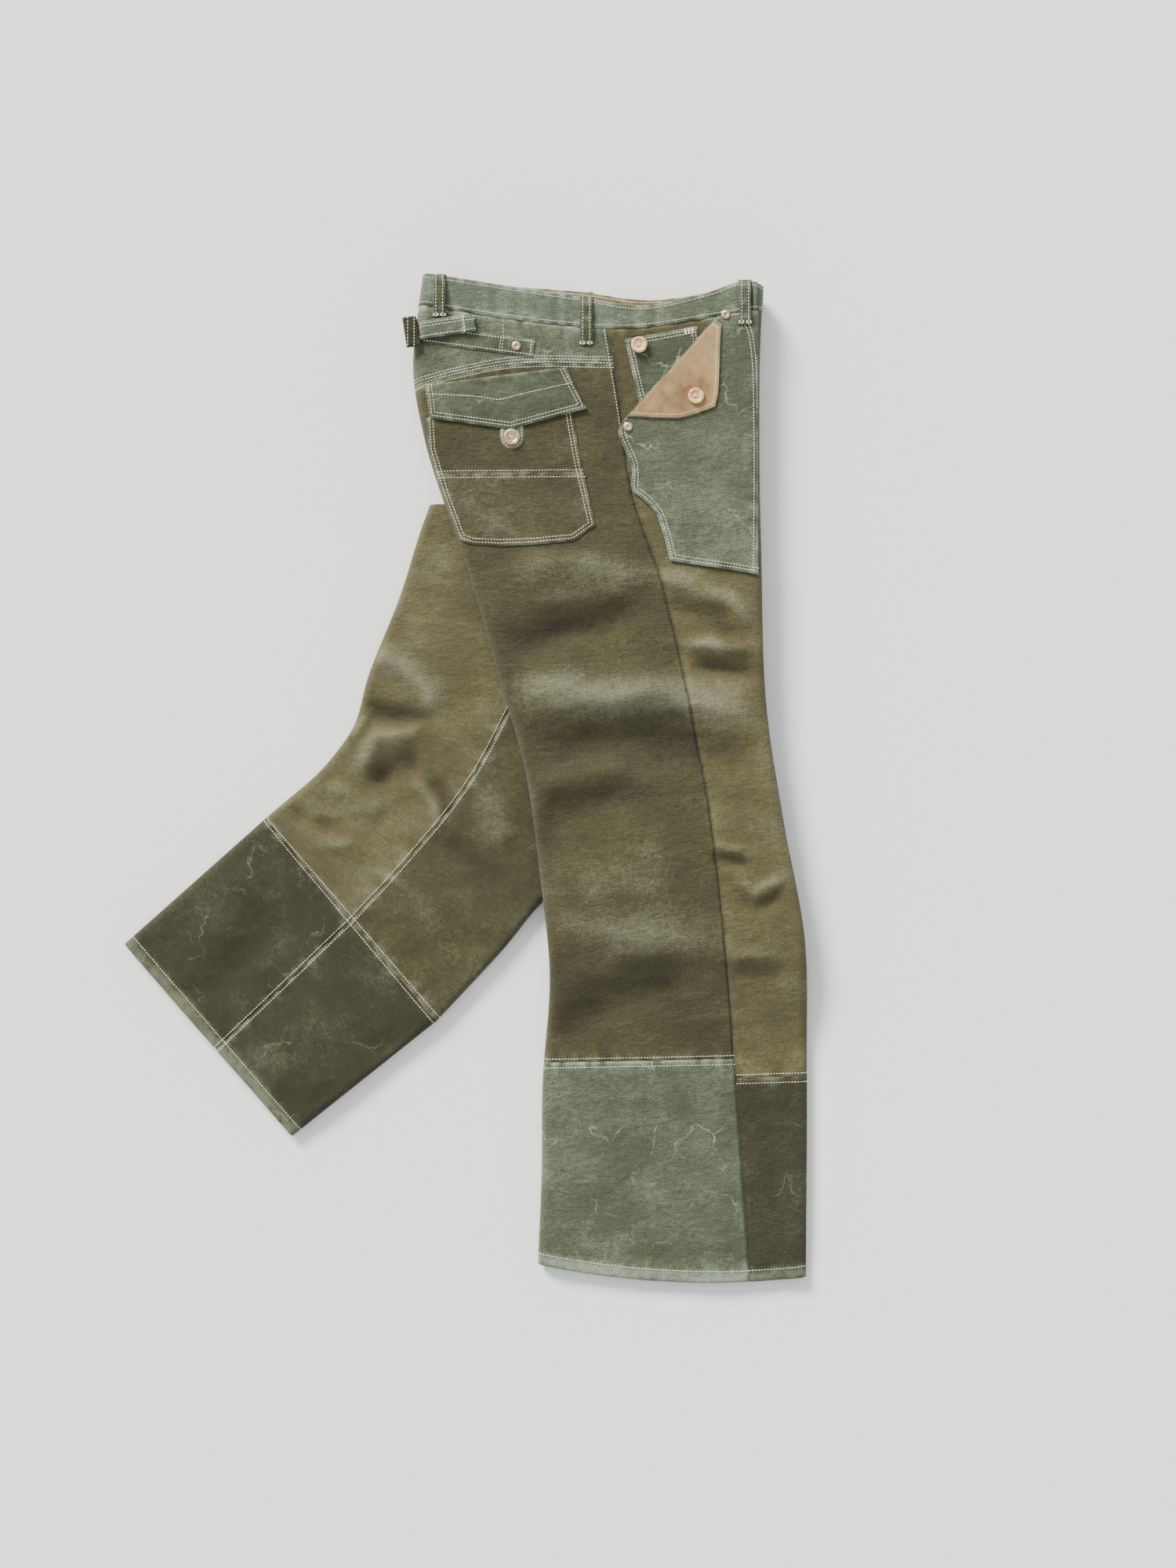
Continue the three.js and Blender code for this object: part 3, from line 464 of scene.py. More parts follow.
@dataclass
class LeftLeg:
    """The lower leg of the two, swung back, with its inseam towards the viewer."""

    pattern: Pattern
    stations: tuple[Station, ...] = (
        Station((-39, 300), (322, 300), 0.60, 0.45, 1.0),
        Station((-50, 270), (321, 255), 0.645, 0.46, 1.0),
        Station((-72, 200), (300, 150), 0.66, 0.465, 1.0),
        Station((-106, 115), (222, 35), 0.68, 0.47, 0.8),
        Station((-121, 62), (165, -45), 0.69, 0.47, 0.5),
        Station((-142, 30), (110, -110), 0.70, 0.48, 0.2),
        Station((-165, 4), (77, -142), 0.72, 0.49, 0.0),
        Station((-205, -30), (38, -190), 0.74, 0.50, 0.0),
        Station((-219, -42), (-32, -265), 0.75, 0.503, 0.0),
        Station((-374, -180), (-190, -391), 0.786, 0.548, 0.0),
    )
    reach: float = 9.0
    runs: Array = field(init=False)

    def __post_init__(self) -> None:
        """Measures the leg along its middle."""
        middles = np.array([np.add(s.seat, s.fly) / 2 for s in self.stations])
        self.runs = np.concatenate([[0], np.cumsum(np.linalg.norm(np.diff(middles, axis=0), axis=1))])

    def _along(self, values: Sequence[float], run: Array) -> Array:
        """Reads a station value at a run along the leg; the cuff is straight."""
        smooth = Line(tuple(zip(self.runs[:-1], values[:-1], strict=True)))(run)
        straight = np.interp(run, self.runs[-2:], values[-2:])
        return np.where(run > self.runs[-2], straight, smooth)

    def edges(self, run: Array) -> tuple[Array, Array]:
        """The seat edge and the fly edge at a run along the leg."""
        column = lambda pick: self._along([pick(s) for s in self.stations], run)  # noqa: E731
        seat = np.stack([column(lambda s: s.seat[0]), column(lambda s: s.seat[1])], -1)
        fly = np.stack([column(lambda s: s.fly[0]), column(lambda s: s.fly[1])], -1)
        return seat, fly

    def share(self, name: str, run: Array) -> Array:
        """The share of the width where the seam of that name runs."""
        return self._along([getattr(s, name) for s in self.stations], run)

    def place(self, run: Array, share: Array, top: bool = True, lift: Array | float = 0.0) -> Array:
        """A point on the leg's outer face.

        Args:
            run: Distance along the leg.
            share: Share of its width, from the seat edge to the fly edge.
            top: Whether it is on the upper face.
            lift: How far it stands off the face.

        Returns:
            Points, with x, y, z along the last axis.
        """
        run, share = np.broadcast_arrays(np.asarray(run, float), np.asarray(share, float))
        seat, fly = self.edges(run)
        flat = seat + (fly - seat) * share[..., None]
        low = self._along([s.raised for s in self.stations], run) * self.pattern.underside
        width = np.linalg.norm(fly - seat, axis=-1)
        over = np.clip(1 - np.minimum(share, 1 - share) * width / self.reach, 0, 1)
        half = self.pattern.leg_depth / 2
        sag = np.where(top, -2.5 * ease(run, self.runs[-1] - 60, self.runs[-1]), 0)
        side = 1.0 if top else -1.0
        z = low + half + side * (half + sag * side) * np.sqrt(1 - over**2) + side * lift
        if top:
            x, y = flat[..., 0], flat[..., 1]
            bare = ease(self.pattern.seat_fold(y) - x, -2, 22) * ease(run, 90, 170)
            z = z + self.pattern.left_relief.read(self.pattern.left_relief.height, x, y) * bare * (1 - over)
        return np.concatenate([flat, z[..., None]], -1)

    def tint(self, x: Array, y: Array) -> Array:
        """How faded the left leg's cloth is at a place, with the folds' painted light and painted shade."""
        return self.pattern.left_relief.read(self.pattern.left_relief.fade, x, y)


# ---- Sheets and meshes --------------------------------------------------------------------------


@dataclass
class Sheet:
    """A sheet of cloth: a grid of points on its outer face.

    Attributes:
        points: (rows, columns, 3) points.
        uv: (rows, columns, 2) places on the flat cloth.
        wear: (rows, columns) how faded the cloth is, with the folds' painted light and shade.
        thick: Its thickness, one number or one for each point.
        ring: Whether the last column joins the first.
        facing: A column, and 1 where its outer face looks up or -1 where it looks down.
    """

    points: Array
    uv: Array
    wear: Array
    thick: Array | float = 1.2
    ring: bool = False
    facing: tuple[int, int] = (0, 1)

    def size(self) -> tuple[float, float, float]:
        """The sheet's width, length and area when it lies flat."""
        p = np.concatenate([self.points, self.points[:, :1]], 1) if self.ring else self.points
        across = np.linalg.norm(np.diff(p, axis=1), axis=2).sum(1).max()
        down = np.linalg.norm(np.diff(p, axis=0), axis=2).sum(0).max()
        if self.ring:
            across, down = np.ptp(p[..., 0]), np.ptp(p[..., 1])
        cross = np.cross(p[1:, 1:] - p[:-1, :-1], p[1:, :-1] - p[:-1, 1:])
        return across, down, np.linalg.norm(cross, axis=2).sum() / 2

    def solid(self) -> tuple[Array, Array, Array, Array]:
        """Gives the sheet its thickness and a rounded rim.

        Returns:
            Vertices, quads, and the UV and the wear, with painted light and shade, of each vertex.
        """
        p = self.points
        rows, cols = p.shape[:2]
        if self.ring:
            down = np.gradient(p, axis=0)
            across = (np.roll(p, -1, 1) - np.roll(p, 1, 1)) / 2
        else:
            down, across = np.gradient(p, axis=0), np.gradient(p, axis=1)
        normal = np.cross(across, down)
        normal /= np.maximum(np.linalg.norm(normal, axis=2, keepdims=True), 1e-9)
        column, sign = self.facing
        if normal[:, column, 2].mean() * sign < 0:
            normal = -normal
        thick = np.broadcast_to(np.asarray(self.thick, float), (rows, cols))[..., None]
        inner = p - normal * thick
        index = np.arange(rows * cols).reshape(rows, cols)
        width = cols if self.ring else cols - 1
        c0, c1 = np.arange(width), (np.arange(width) + 1) % cols
        quads = [
            np.stack([index[:-1, c0], index[1:, c0], index[1:, c1], index[:-1, c1]], -1).reshape(-1, 4),
        ]
        quads.append(quads[0][:, ::-1] + rows * cols)
        verts, extra_uv, extra_wear_and_shade = [p.reshape(-1, 3), inner.reshape(-1, 3)], [], []
        loops = [(index[0, :], index[1, :]), (index[-1, :][::-1], index[-2, :][::-1])]
        if self.ring:
            loops = [(np.append(a, a[0]), np.append(b, b[0])) for a, b in loops]
        else:
            left, right = index[:, 0], index[:, -1]
            edge = np.concatenate([index[0, :-1], right[:-1], index[-1, ::-1][:-1], left[::-1]])
            beside = np.concatenate([index[1, :-1], index[:-1, -2], index[-2, ::-1][:-1], index[::-1, 1]])
            loops = [(edge, beside)]
        flat_p, flat_in = p.reshape(-1, 3), inner.reshape(-1, 3)
        flat_uv, flat_wear_and_shade = self.uv.reshape(-1, 2), self.wear.reshape(-1)
        base = 2 * rows * cols
        for edge, beside in loops:
            e, b = edge[:-1], beside[:-1]
            out = flat_p[e] - flat_p[b]
            out /= np.maximum(np.linalg.norm(out, axis=1, keepdims=True), 1e-9)
            wall = np.linalg.norm(flat_p[e] - flat_in[e], axis=1, keepdims=True)
            verts.append((flat_p[e] + flat_in[e]) / 2 + out * wall * 0.3)
            extra_uv.append(flat_uv[e])
            extra_wear_and_shade.append(flat_wear_and_shade[e])
            mid = base + np.arange(len(e))
            nxt = np.roll(mid, -1)
            e2 = np.roll(e, -1)
            quads.append(np.stack([e, mid, nxt, e2], -1)[:, ::-1])
            quads.append(np.stack([mid, e + rows * cols, e2 + rows * cols, nxt], -1)[:, ::-1])
            base += len(e)
        uv = np.concatenate([flat_uv, flat_uv, *extra_uv])
        wear = np.concatenate([flat_wear_and_shade, flat_wear_and_shade, *extra_wear_and_shade])
        v, q = np.concatenate(verts), np.concatenate(quads)
        if signed_volume(v, q) < 0:
            q = q[:, ::-1]
        return v, q, uv, wear


def signed_volume(verts: Array, quads: Array) -> float:
    """Six times the volume inside the quads, negative where they face inwards."""
    a, b, c, d = (verts[quads[:, k]] for k in range(4))
    return float((np.cross(a, b) * c).sum() + (np.cross(a, c) * d).sum())


def make_mesh(name: str, verts: Array, faces: Array, uv: Array | None = None, wear: Array | None = None) -> bpy.types.Object:
    """Makes an object at the origin from arrays.

    Args:
        name: Its name.
        verts: (n, 3) vertices in millimetres.
        faces: (m, 3) or (m, 4) faces.
        uv: (n, 2) places on the flat cloth in millimetres.
        wear: (n,) how faded each vertex is, with the folds' painted light and shade.

    Returns:
        The object, linked to the scene.
    """
    mesh = bpy.data.meshes.new(name)
    mesh.vertices.add(len(verts))
    mesh.vertices.foreach_set("co", (verts * MM).astype(np.float32).ravel())
    corners = faces.shape[1]
    mesh.loops.add(faces.size)
    mesh.loops.foreach_set("vertex_index", faces.astype(np.int32).ravel())
    mesh.polygons.add(len(faces))
    mesh.polygons.foreach_set("loop_start", np.arange(0, faces.size, corners, dtype=np.int32))
    mesh.polygons.foreach_set("use_smooth", np.ones(len(faces), bool))
    mesh.update(calc_edges=True)
    if uv is not None:
        layer = mesh.uv_layers.new(name="cloth")
        layer.data.foreach_set("uv", (uv[faces.ravel()] * MM).astype(np.float32).ravel())
    if wear is not None:
        attribute = mesh.attributes.new("wear", "FLOAT", "POINT")
        attribute.data.foreach_set("value", wear.astype(np.float32))
    mesh.validate()
    made = bpy.data.objects.new(name, mesh)
    bpy.context.scene.collection.objects.link(made)
    return made


@dataclass
class Bend:
    """Where a cloth that crosses the hip joint starts and ends its bend."""

    start: tuple[float, float, float] = (83.0, 279.0, 14.0)
    end: tuple[float, float, float] = (-7.0, 46.0, 14.0)

    def apply(self, piece: bpy.types.Object) -> None:
        """Bakes the piece's transform; the piece is not bent."""
        [c * MM for c in self.start]
        [c * MM for c in self.end]
        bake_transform(piece)


class Workroom:
    """Sews sheets into pieces, and rides each one on its body."""

    def __init__(self) -> None:
        """Starts with no piece made."""
        self.bend = Bend()
        self.made: list[bpy.types.Object] = []

    def sew(
        self,
        name: str,
        sheets: Sequence[Sheet],
        material: bpy.types.Material,
        nodes: Sequence[str],
        slot: str,
        body: Body | None = Body.ROOT,
        held: Held = Held.LAID,
        rests_on: Sequence[str] = (),
    ) -> bpy.types.Object:
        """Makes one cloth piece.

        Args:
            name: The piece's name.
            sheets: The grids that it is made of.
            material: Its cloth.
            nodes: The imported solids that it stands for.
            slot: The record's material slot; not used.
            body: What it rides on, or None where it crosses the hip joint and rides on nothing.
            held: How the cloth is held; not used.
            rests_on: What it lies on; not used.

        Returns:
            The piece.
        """
        parts, start = [sheet.solid() for sheet in sheets], 0
        faces = []
        for v, q, _, _ in parts:
            faces.append(q + start)
            start += len(v)
        piece = make_mesh(
            name,
            np.concatenate([p[0] for p in parts]),
            np.concatenate(faces),
            np.concatenate([p[2] for p in parts]),
            np.concatenate([p[3] for p in parts]),
        )
        piece.data.materials.append(material)
        sizes = [sheet.size() for sheet in sheets]
        area = sum(s[2] for s in sizes)
        width, length = sum(s[0] for s in sizes), max(s[1] for s in sizes)
        length = max(length, area / width)
        self.place(piece, nodes, slot, body)
        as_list(rests_on)
        log.info("%s: %d faces, cut %.0f x %.0f mm", name, len(piece.data.polygons), width, length)
        return piece

    def place(self, piece: bpy.types.Object, nodes: Sequence[str], slot: str, body: Body | None) -> None:
        """Rides a piece on its body, or bakes its transform where it has none, and hides the imported solids that it
        stands for.
        """
        if body is None:
            self.bend.apply(piece)
        else:
            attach(piece, body.value)
        if nodes:
            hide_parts(*nodes)
        self.made.append(piece)


# ---- Finishes -----------------------------------------------------------------------------------


def linear(colour: str) -> tuple[float, float, float, float]:
    """An sRGB hex colour as linear RGBA."""
    parts = [int(colour[i : i + 2], 16) / 255 for i in (1, 3, 5)]
    r, g, b = (c / 12.92 if c <= 0.04045 else ((c + 0.055) / 1.055) ** 2.4 for c in parts)
    return r, g, b, 1.0


def add(tree: bpy.types.NodeTree, kind: str, *inputs: object, out: int | str | None = 0, **settings: object) -> object:
    """Adds a node to a tree with its settings and links.

    Args:
        tree: The tree.
        kind: The node's type.
        *inputs: Values or sockets for its first inputs, in order; None leaves an input as it is.
        out: The output to return, or None for the node itself.
        **settings: Its properties. A name that is an input's, with _ for a space, sets or links that
            input, and stops are a colour ramp's places and sRGB hex colours.

    Returns:
        The output socket, or the node.
    """
    node = tree.nodes.new(kind)
    wanted = dict(enumerate(inputs))
    for key, value in settings.items():
        if key == "stops":
            for _ in value[2:]:
                node.color_ramp.elements.new(0.5)
            for element, (place, colour) in zip(node.color_ramp.elements, value, strict=True):
                element.position, element.color = place, linear(colour)
        elif hasattr(node, key):
            setattr(node, key, value)
        else:
            wanted[key.replace("_", " ")] = value
    for key, value in wanted.items():
        if isinstance(value, bpy.types.NodeSocket):
            tree.links.new(value, node.inputs[key])
        elif value is not None:
            node.inputs[key].default_value = value
    return node if out is None else node.outputs[out]


class Shader:
    """A material's node tree while it is being built."""

    def __init__(self, name: str, **surface: object) -> None:
        """Starts a material with a principled shader.

        Args:
            name: The material's name.
            **surface: The shader's constants, by name with _ for a space.
        """
        self.material = bpy.data.materials.new(name)
        self.material.use_nodes = True
        self.tree = self.material.node_tree
        self.tree.nodes.clear()
        self.surface = self.add("BsdfPrincipled", out=None, **surface)
        self.add("OutputMaterial", self.surface.outputs[0], out=None)

    def add(self, kind: str, *inputs: object, **settings: object) -> object:
        """Adds a shader node, as the function of the same name does."""
        return add(self.tree, "ShaderNode" + kind, *inputs, **settings)

    def dress(self, **sockets: bpy.types.NodeSocket) -> bpy.types.Material:
        """Links sockets to the shader's inputs, by name with _ for a space, and gives the material."""
        for key, socket in sockets.items():
            self.tree.links.new(socket, self.surface.inputs[key.replace("_", " ")])
        return self.material


@dataclass(frozen=True)
class Canvas:
    """Cotton duck, plain woven from thick slubby yarn, garment dyed, waxed and washed pale on its ridges, with painted
    light on the ridges and painted shade in the hollows.

    To the eye: a dry, toothy face with short pale slubs along the weft, clouds of uneven dye, and
    whitened cracks where the wax has broken.

    Attributes:
        name: The material's name.
        deep: Colour in the hollows, where it is painted shade, and of the darkest dye clouds and neps.
        body: Colour of the flat cloth.
        faded: Colour on the ridges, partly worn pale and partly painted light.
        veins: How strongly its creases have whitened.
        slub: How strongly thick yarns show.
        yarn: Yarn spacing in mm, drawn coarse enough to show.
    """

    name: str
    deep: str
    body: str
    faded: str
    veins: float = 0.15
    slub: float = 0.2
    yarn: float = 1.3

    def build(self) -> bpy.types.Material:
        """Builds the material."""
        s = Shader(self.name, Specular_IOR_Level=0.25, Sheen_Weight=0.1, Sheen_Roughness=0.6)
        where = s.add("UVMap", uv_map="cloth")
        # The wear attribute carries the cloth's fading and the folds' painted light and shade.
        wear = s.add("Attribute", attribute_name="wear", out="Fac")
        # Each noise's first two numbers are the size of its marks in mm, across and along the cloth.
        marks = {}
        for key, x, y, detail, rough in (
            ("clouds", 62, 48, 5, 0.62),
            ("slubs", 9, 1.3, 3, 0.65),
            ("ends", 1.3, 9, 2, 0.5),
            ("tooth", 1.7, 1.2, 2, 0.7),
            ("rub", 6.5, 4.2, 4, 0.72),
            ("crinkle", 14, 8, 4, 0.6),
            ("patches", 44, 60, 2, 0.5),
            ("warm", 120, 90, 3, 0.6),
        ):
            place = s.add("Mapping", where, Scale=(1000 / x, 1000 / y, 1))
            marks[key] = s.add("TexNoise", Vector=place, Scale=1.0, Detail=detail, Roughness=rough, noise_dimensions="2D")
        shade = s.add("Math", marks["clouds"], 0.5, wear, operation="MULTIPLY_ADD")
        for key, share in (("slubs", 1.8 * self.slub), ("ends", 0.9 * self.slub), ("tooth", 2.7 * self.slub), ("rub", 0.3)):
            shade = s.add("Math", marks[key], share, shade, operation="MULTIPLY_ADD")
        # Half of each noise's share is taken off again, so that the cloth keeps its own colour.
        shade = s.add("Math", shade, 0.4 + 2.7 * self.slub, operation="SUBTRACT", use_clamp=True)
        # The ramp's dark end is painted shade in the folds' hollows, and its pale end is partly painted light on their
        # ridges.
        colour = s.add("ValToRGB", shade, stops=((0.0, self.deep), (0.5, self.body), (1.0, self.faded)))
        # The dye has gone brown in places.
        warm = s.add("Math", marks["warm"], 2.4, -1.05, operation="MULTIPLY_ADD", use_clamp=True)
        colour = s.add("MixRGB", warm, colour, (1.0, 0.95, 0.85, 1), blend_type="MULTIPLY")

        # Fine pale lines where the wax has cracked along old creases.
        bent = s.add("TexNoise", Vector=s.add("Mapping", where, Scale=(33, 33, 1)), Scale=1.0, Detail=3.0, noise_dimensions="2D", out=1)
        place = s.add("Mapping", where, Rotation=(0, 0, 0.5), Scale=(21, 26, 1))
        moved = s.add("VectorMath", bent, (0.9, 0.9, 0.0), place, operation="MULTIPLY_ADD")
        cells = s.add("TexVoronoi", Vector=moved, Scale=1.0, feature="DISTANCE_TO_EDGE", voronoi_dimensions="2D")
        line = s.add("Math", cells, -34.0, 1.0, operation="MULTIPLY_ADD", use_clamp=True)
        patch = s.add("Math", marks["patches"], 5.0, -2.7, operation="MULTIPLY_ADD", use_clamp=True)
        line = s.add("Math", line, patch, operation="MULTIPLY")
        vein = s.add("Math", line, s.add("Math", marks["rub"], 1.5 * self.veins, operation="MULTIPLY"), operation="MULTIPLY")
        colour = s.add("MixRGB", vein, colour, linear("#d6d8c6"))

        # Neps: flecks of dark fibre spun into the yarn.
        flecks = s.add("TexVoronoi", Vector=s.add("Mapping", where, Scale=(110, 160, 1)), Scale=1.0, voronoi_dimensions="2D")
        nep = s.add("Math", s.add("Math", flecks, 0.1, operation="LESS_THAN"), 0.4, operation="MULTIPLY")
        colour = s.add("MixRGB", nep, colour, linear(self.deep))

        wave = math.pi / 10 / self.yarn
        flat = s.add("Mapping", where, Scale=(1000, 1000, 1))
        height = s.add("Math", marks["crinkle"], 2.4, operation="MULTIPLY")
        for key in ("X", "Y"):
            yarns = s.add("TexWave", Vector=flat, Scale=wave, Distortion=0.8, bands_direction=key, out=1)
            height = s.add("Math", yarns, 0.2, height, operation="MULTIPLY_ADD")
        for key, share in (("slubs", 0.6), ("tooth", 0.7), ("rub", 0.5)):
            height = s.add("Math", marks[key], share, height, operation="MULTIPLY_ADD")
        bump = s.add("Bump", Strength=0.8, Distance=0.0011, Height=height)
        rough = s.add("Math", marks["clouds"], 0.12, 0.82, operation="MULTIPLY_ADD", use_clamp=True)
        return s.dress(Base_Color=colour, Normal=bump, Roughness=rough)


@dataclass(frozen=True)
class Twill:
    """Cotton drill lining: a fine diagonal weave, undyed tan, softer than the canvas."""

    name: str
    shade: str
    body: str
    wale: float = 1.5

    def build(self) -> bpy.types.Material:
        """Builds the material."""
        s = Shader(self.name, Roughness=0.9, Specular_IOR_Level=0.25)
        turned = s.add("Mapping", s.add("UVMap", uv_map="cloth"), Rotation=(0, 0, 0.9), Scale=(1000, 1000, 1))
        wales = s.add("TexWave", Vector=turned, Scale=math.pi / 10 / self.wale, Distortion=0.8, out=1)
        cloudy = s.add("TexNoise", Vector=turned, Scale=0.08, Detail=6.0, Roughness=0.7, noise_dimensions="2D")
        # The wear attribute carries the cloth's wear and, on the corner lining, painted light and shade.
        wear = s.add("Attribute", attribute_name="wear", out="Fac")
        mixed = s.add("Math", wales, 0.25, s.add("Math", cloudy, 1.1, wear, operation="MULTIPLY_ADD"), operation="MULTIPLY_ADD")
        mixed = s.add("Math", mixed, 0.8, operation="SUBTRACT", use_clamp=True)
        colour = s.add("ValToRGB", mixed, stops=((0.0, self.shade), (1.0, self.body)))
        height = s.add("Math", wales, 0.3, cloudy, operation="MULTIPLY_ADD")
        return s.dress(Base_Color=colour, Normal=s.add("Bump", Strength=0.6, Distance=0.0009, Height=height))


@dataclass(frozen=True)
class Thread:
    """Thick cotton topstitching thread, two-ply, matt with a slight lustre."""

    name: str
    colour: str
    shade: str

    def build(self) -> bpy.types.Material:
        """Builds the material."""
        s = Shader(self.name, Roughness=0.7)
        where = s.add("TexCoord", out="Object")
        spread = s.add("TexNoise", Vector=where, Scale=420.0, Detail=2.0)
        colour = s.add("ValToRGB", spread, stops=((0.3, self.shade), (0.65, self.colour)))
        twist = s.add("Mapping", where, Rotation=(0, 0, 0.7), Scale=(1000, 1000, 1000))
        plies = s.add("TexWave", Vector=twist, Scale=math.pi / 10 / 0.6, out=1)
        return s.dress(Base_Color=colour, Normal=s.add("Bump", Strength=0.5, Distance=0.0002, Height=plies))


@dataclass(frozen=True)
class Horn:
    """Turned and polished horn: layered tan, glossy, a little darker in its grooves."""

    name: str
    pale: str
    dark: str

    def build(self) -> bpy.types.Material:
        """Builds the material."""
        s = Shader(self.name, Coat_Weight=0.3)
        grain = s.add("Mapping", s.add("TexCoord", out="Object"), Rotation=(0, 0, 0.4), Scale=(90, 420, 160))
        layers = s.add("TexNoise", Vector=grain, Scale=1.0, Detail=4.0, Distortion=0.8)
        colour = s.add("ValToRGB", layers, stops=((0.32, self.dark), (0.62, self.pale)))
        return s.dress(Base_Color=colour, Roughness=s.add("Math", layers, 0.2, 0.25, operation="MULTIPLY_ADD"))


@dataclass(frozen=True)
class Metal:
    """Stamped metal: polished on its high rim, dull and dark in its hollows from handling."""

    name: str
    bright: str
    dull: str
    rough: float = 0.32

    def build(self) -> bpy.types.Material:
        """Builds the material."""
        s = Shader(self.name, Metallic=0.9)
        marks = s.add("TexNoise", Vector=s.add("TexCoord", out="Object"), Scale=520.0, Detail=5.0)
        colour = s.add("ValToRGB", marks, stops=((0.35, self.dull), (0.6, self.bright)))
        return s.dress(Base_Color=colour, Roughness=s.add("Math", marks, 0.3, self.rough - 0.1, operation="MULTIPLY_ADD"))


class Finishes:
    """Every material of the garment, built once."""

    def __init__(self) -> None:
        """Builds them."""
        self.olive = Canvas("olive_duck_canvas", "#181403", "#3e3c22", "#737960", 0.03, 0.17).build()
        self.thigh = Canvas("light_olive_duck_canvas", "#221d07", "#4e4a2e", "#7a7c64", 0.03, 0.15).build()
        self.washed = Canvas("washed_green_duck_canvas", "#1d200f", "#464d39", "#828d7c", 0.45, 0.16).build()
        self.cuff = Canvas("dark_green_duck_canvas", "#131304", "#2d2d17", "#666c56", 0.15, 0.16).build()
        self.band = Canvas("pale_green_duck_canvas", "#262c1e", "#525c4c", "#97a292", 0.3, 0.2).build()
        self.twill = Twill("tan_cotton_drill", "#6b5337", "#a68a63").build()
        self.cream = Thread("cream_cotton_thread", "#f4f0e2", "#d8d3be").build()
        self.red = Thread("red_cotton_thread", "#b0402a", "#7e2c1e").build()
        self.horn = Horn("polished_horn", "#e8c48c", "#b58750").build()
        self.brass = Metal("aged_brass", "#e0c493", "#a98250").build()
        self.copper = Metal("tinned_copper", "#e3c5b0", "#b08c74").build()
        self.steel = Metal("blackened_steel", "#4a4842", "#2b2a26", 0.45).build()
        # Painted shade: a dark finish for the eyes of the buttons and the punched middles of the rivets, standing in
        # for the shade inside those holes.
        self.hollow = Horn("burnt_horn", "#3a2714", "#20150b").build()


# ---- Leg and hip panels -------------------------------------------------------------------------


class Edge(Enum):
    """The two folds of the garment."""

    SEAT = 1
    FLY = -1


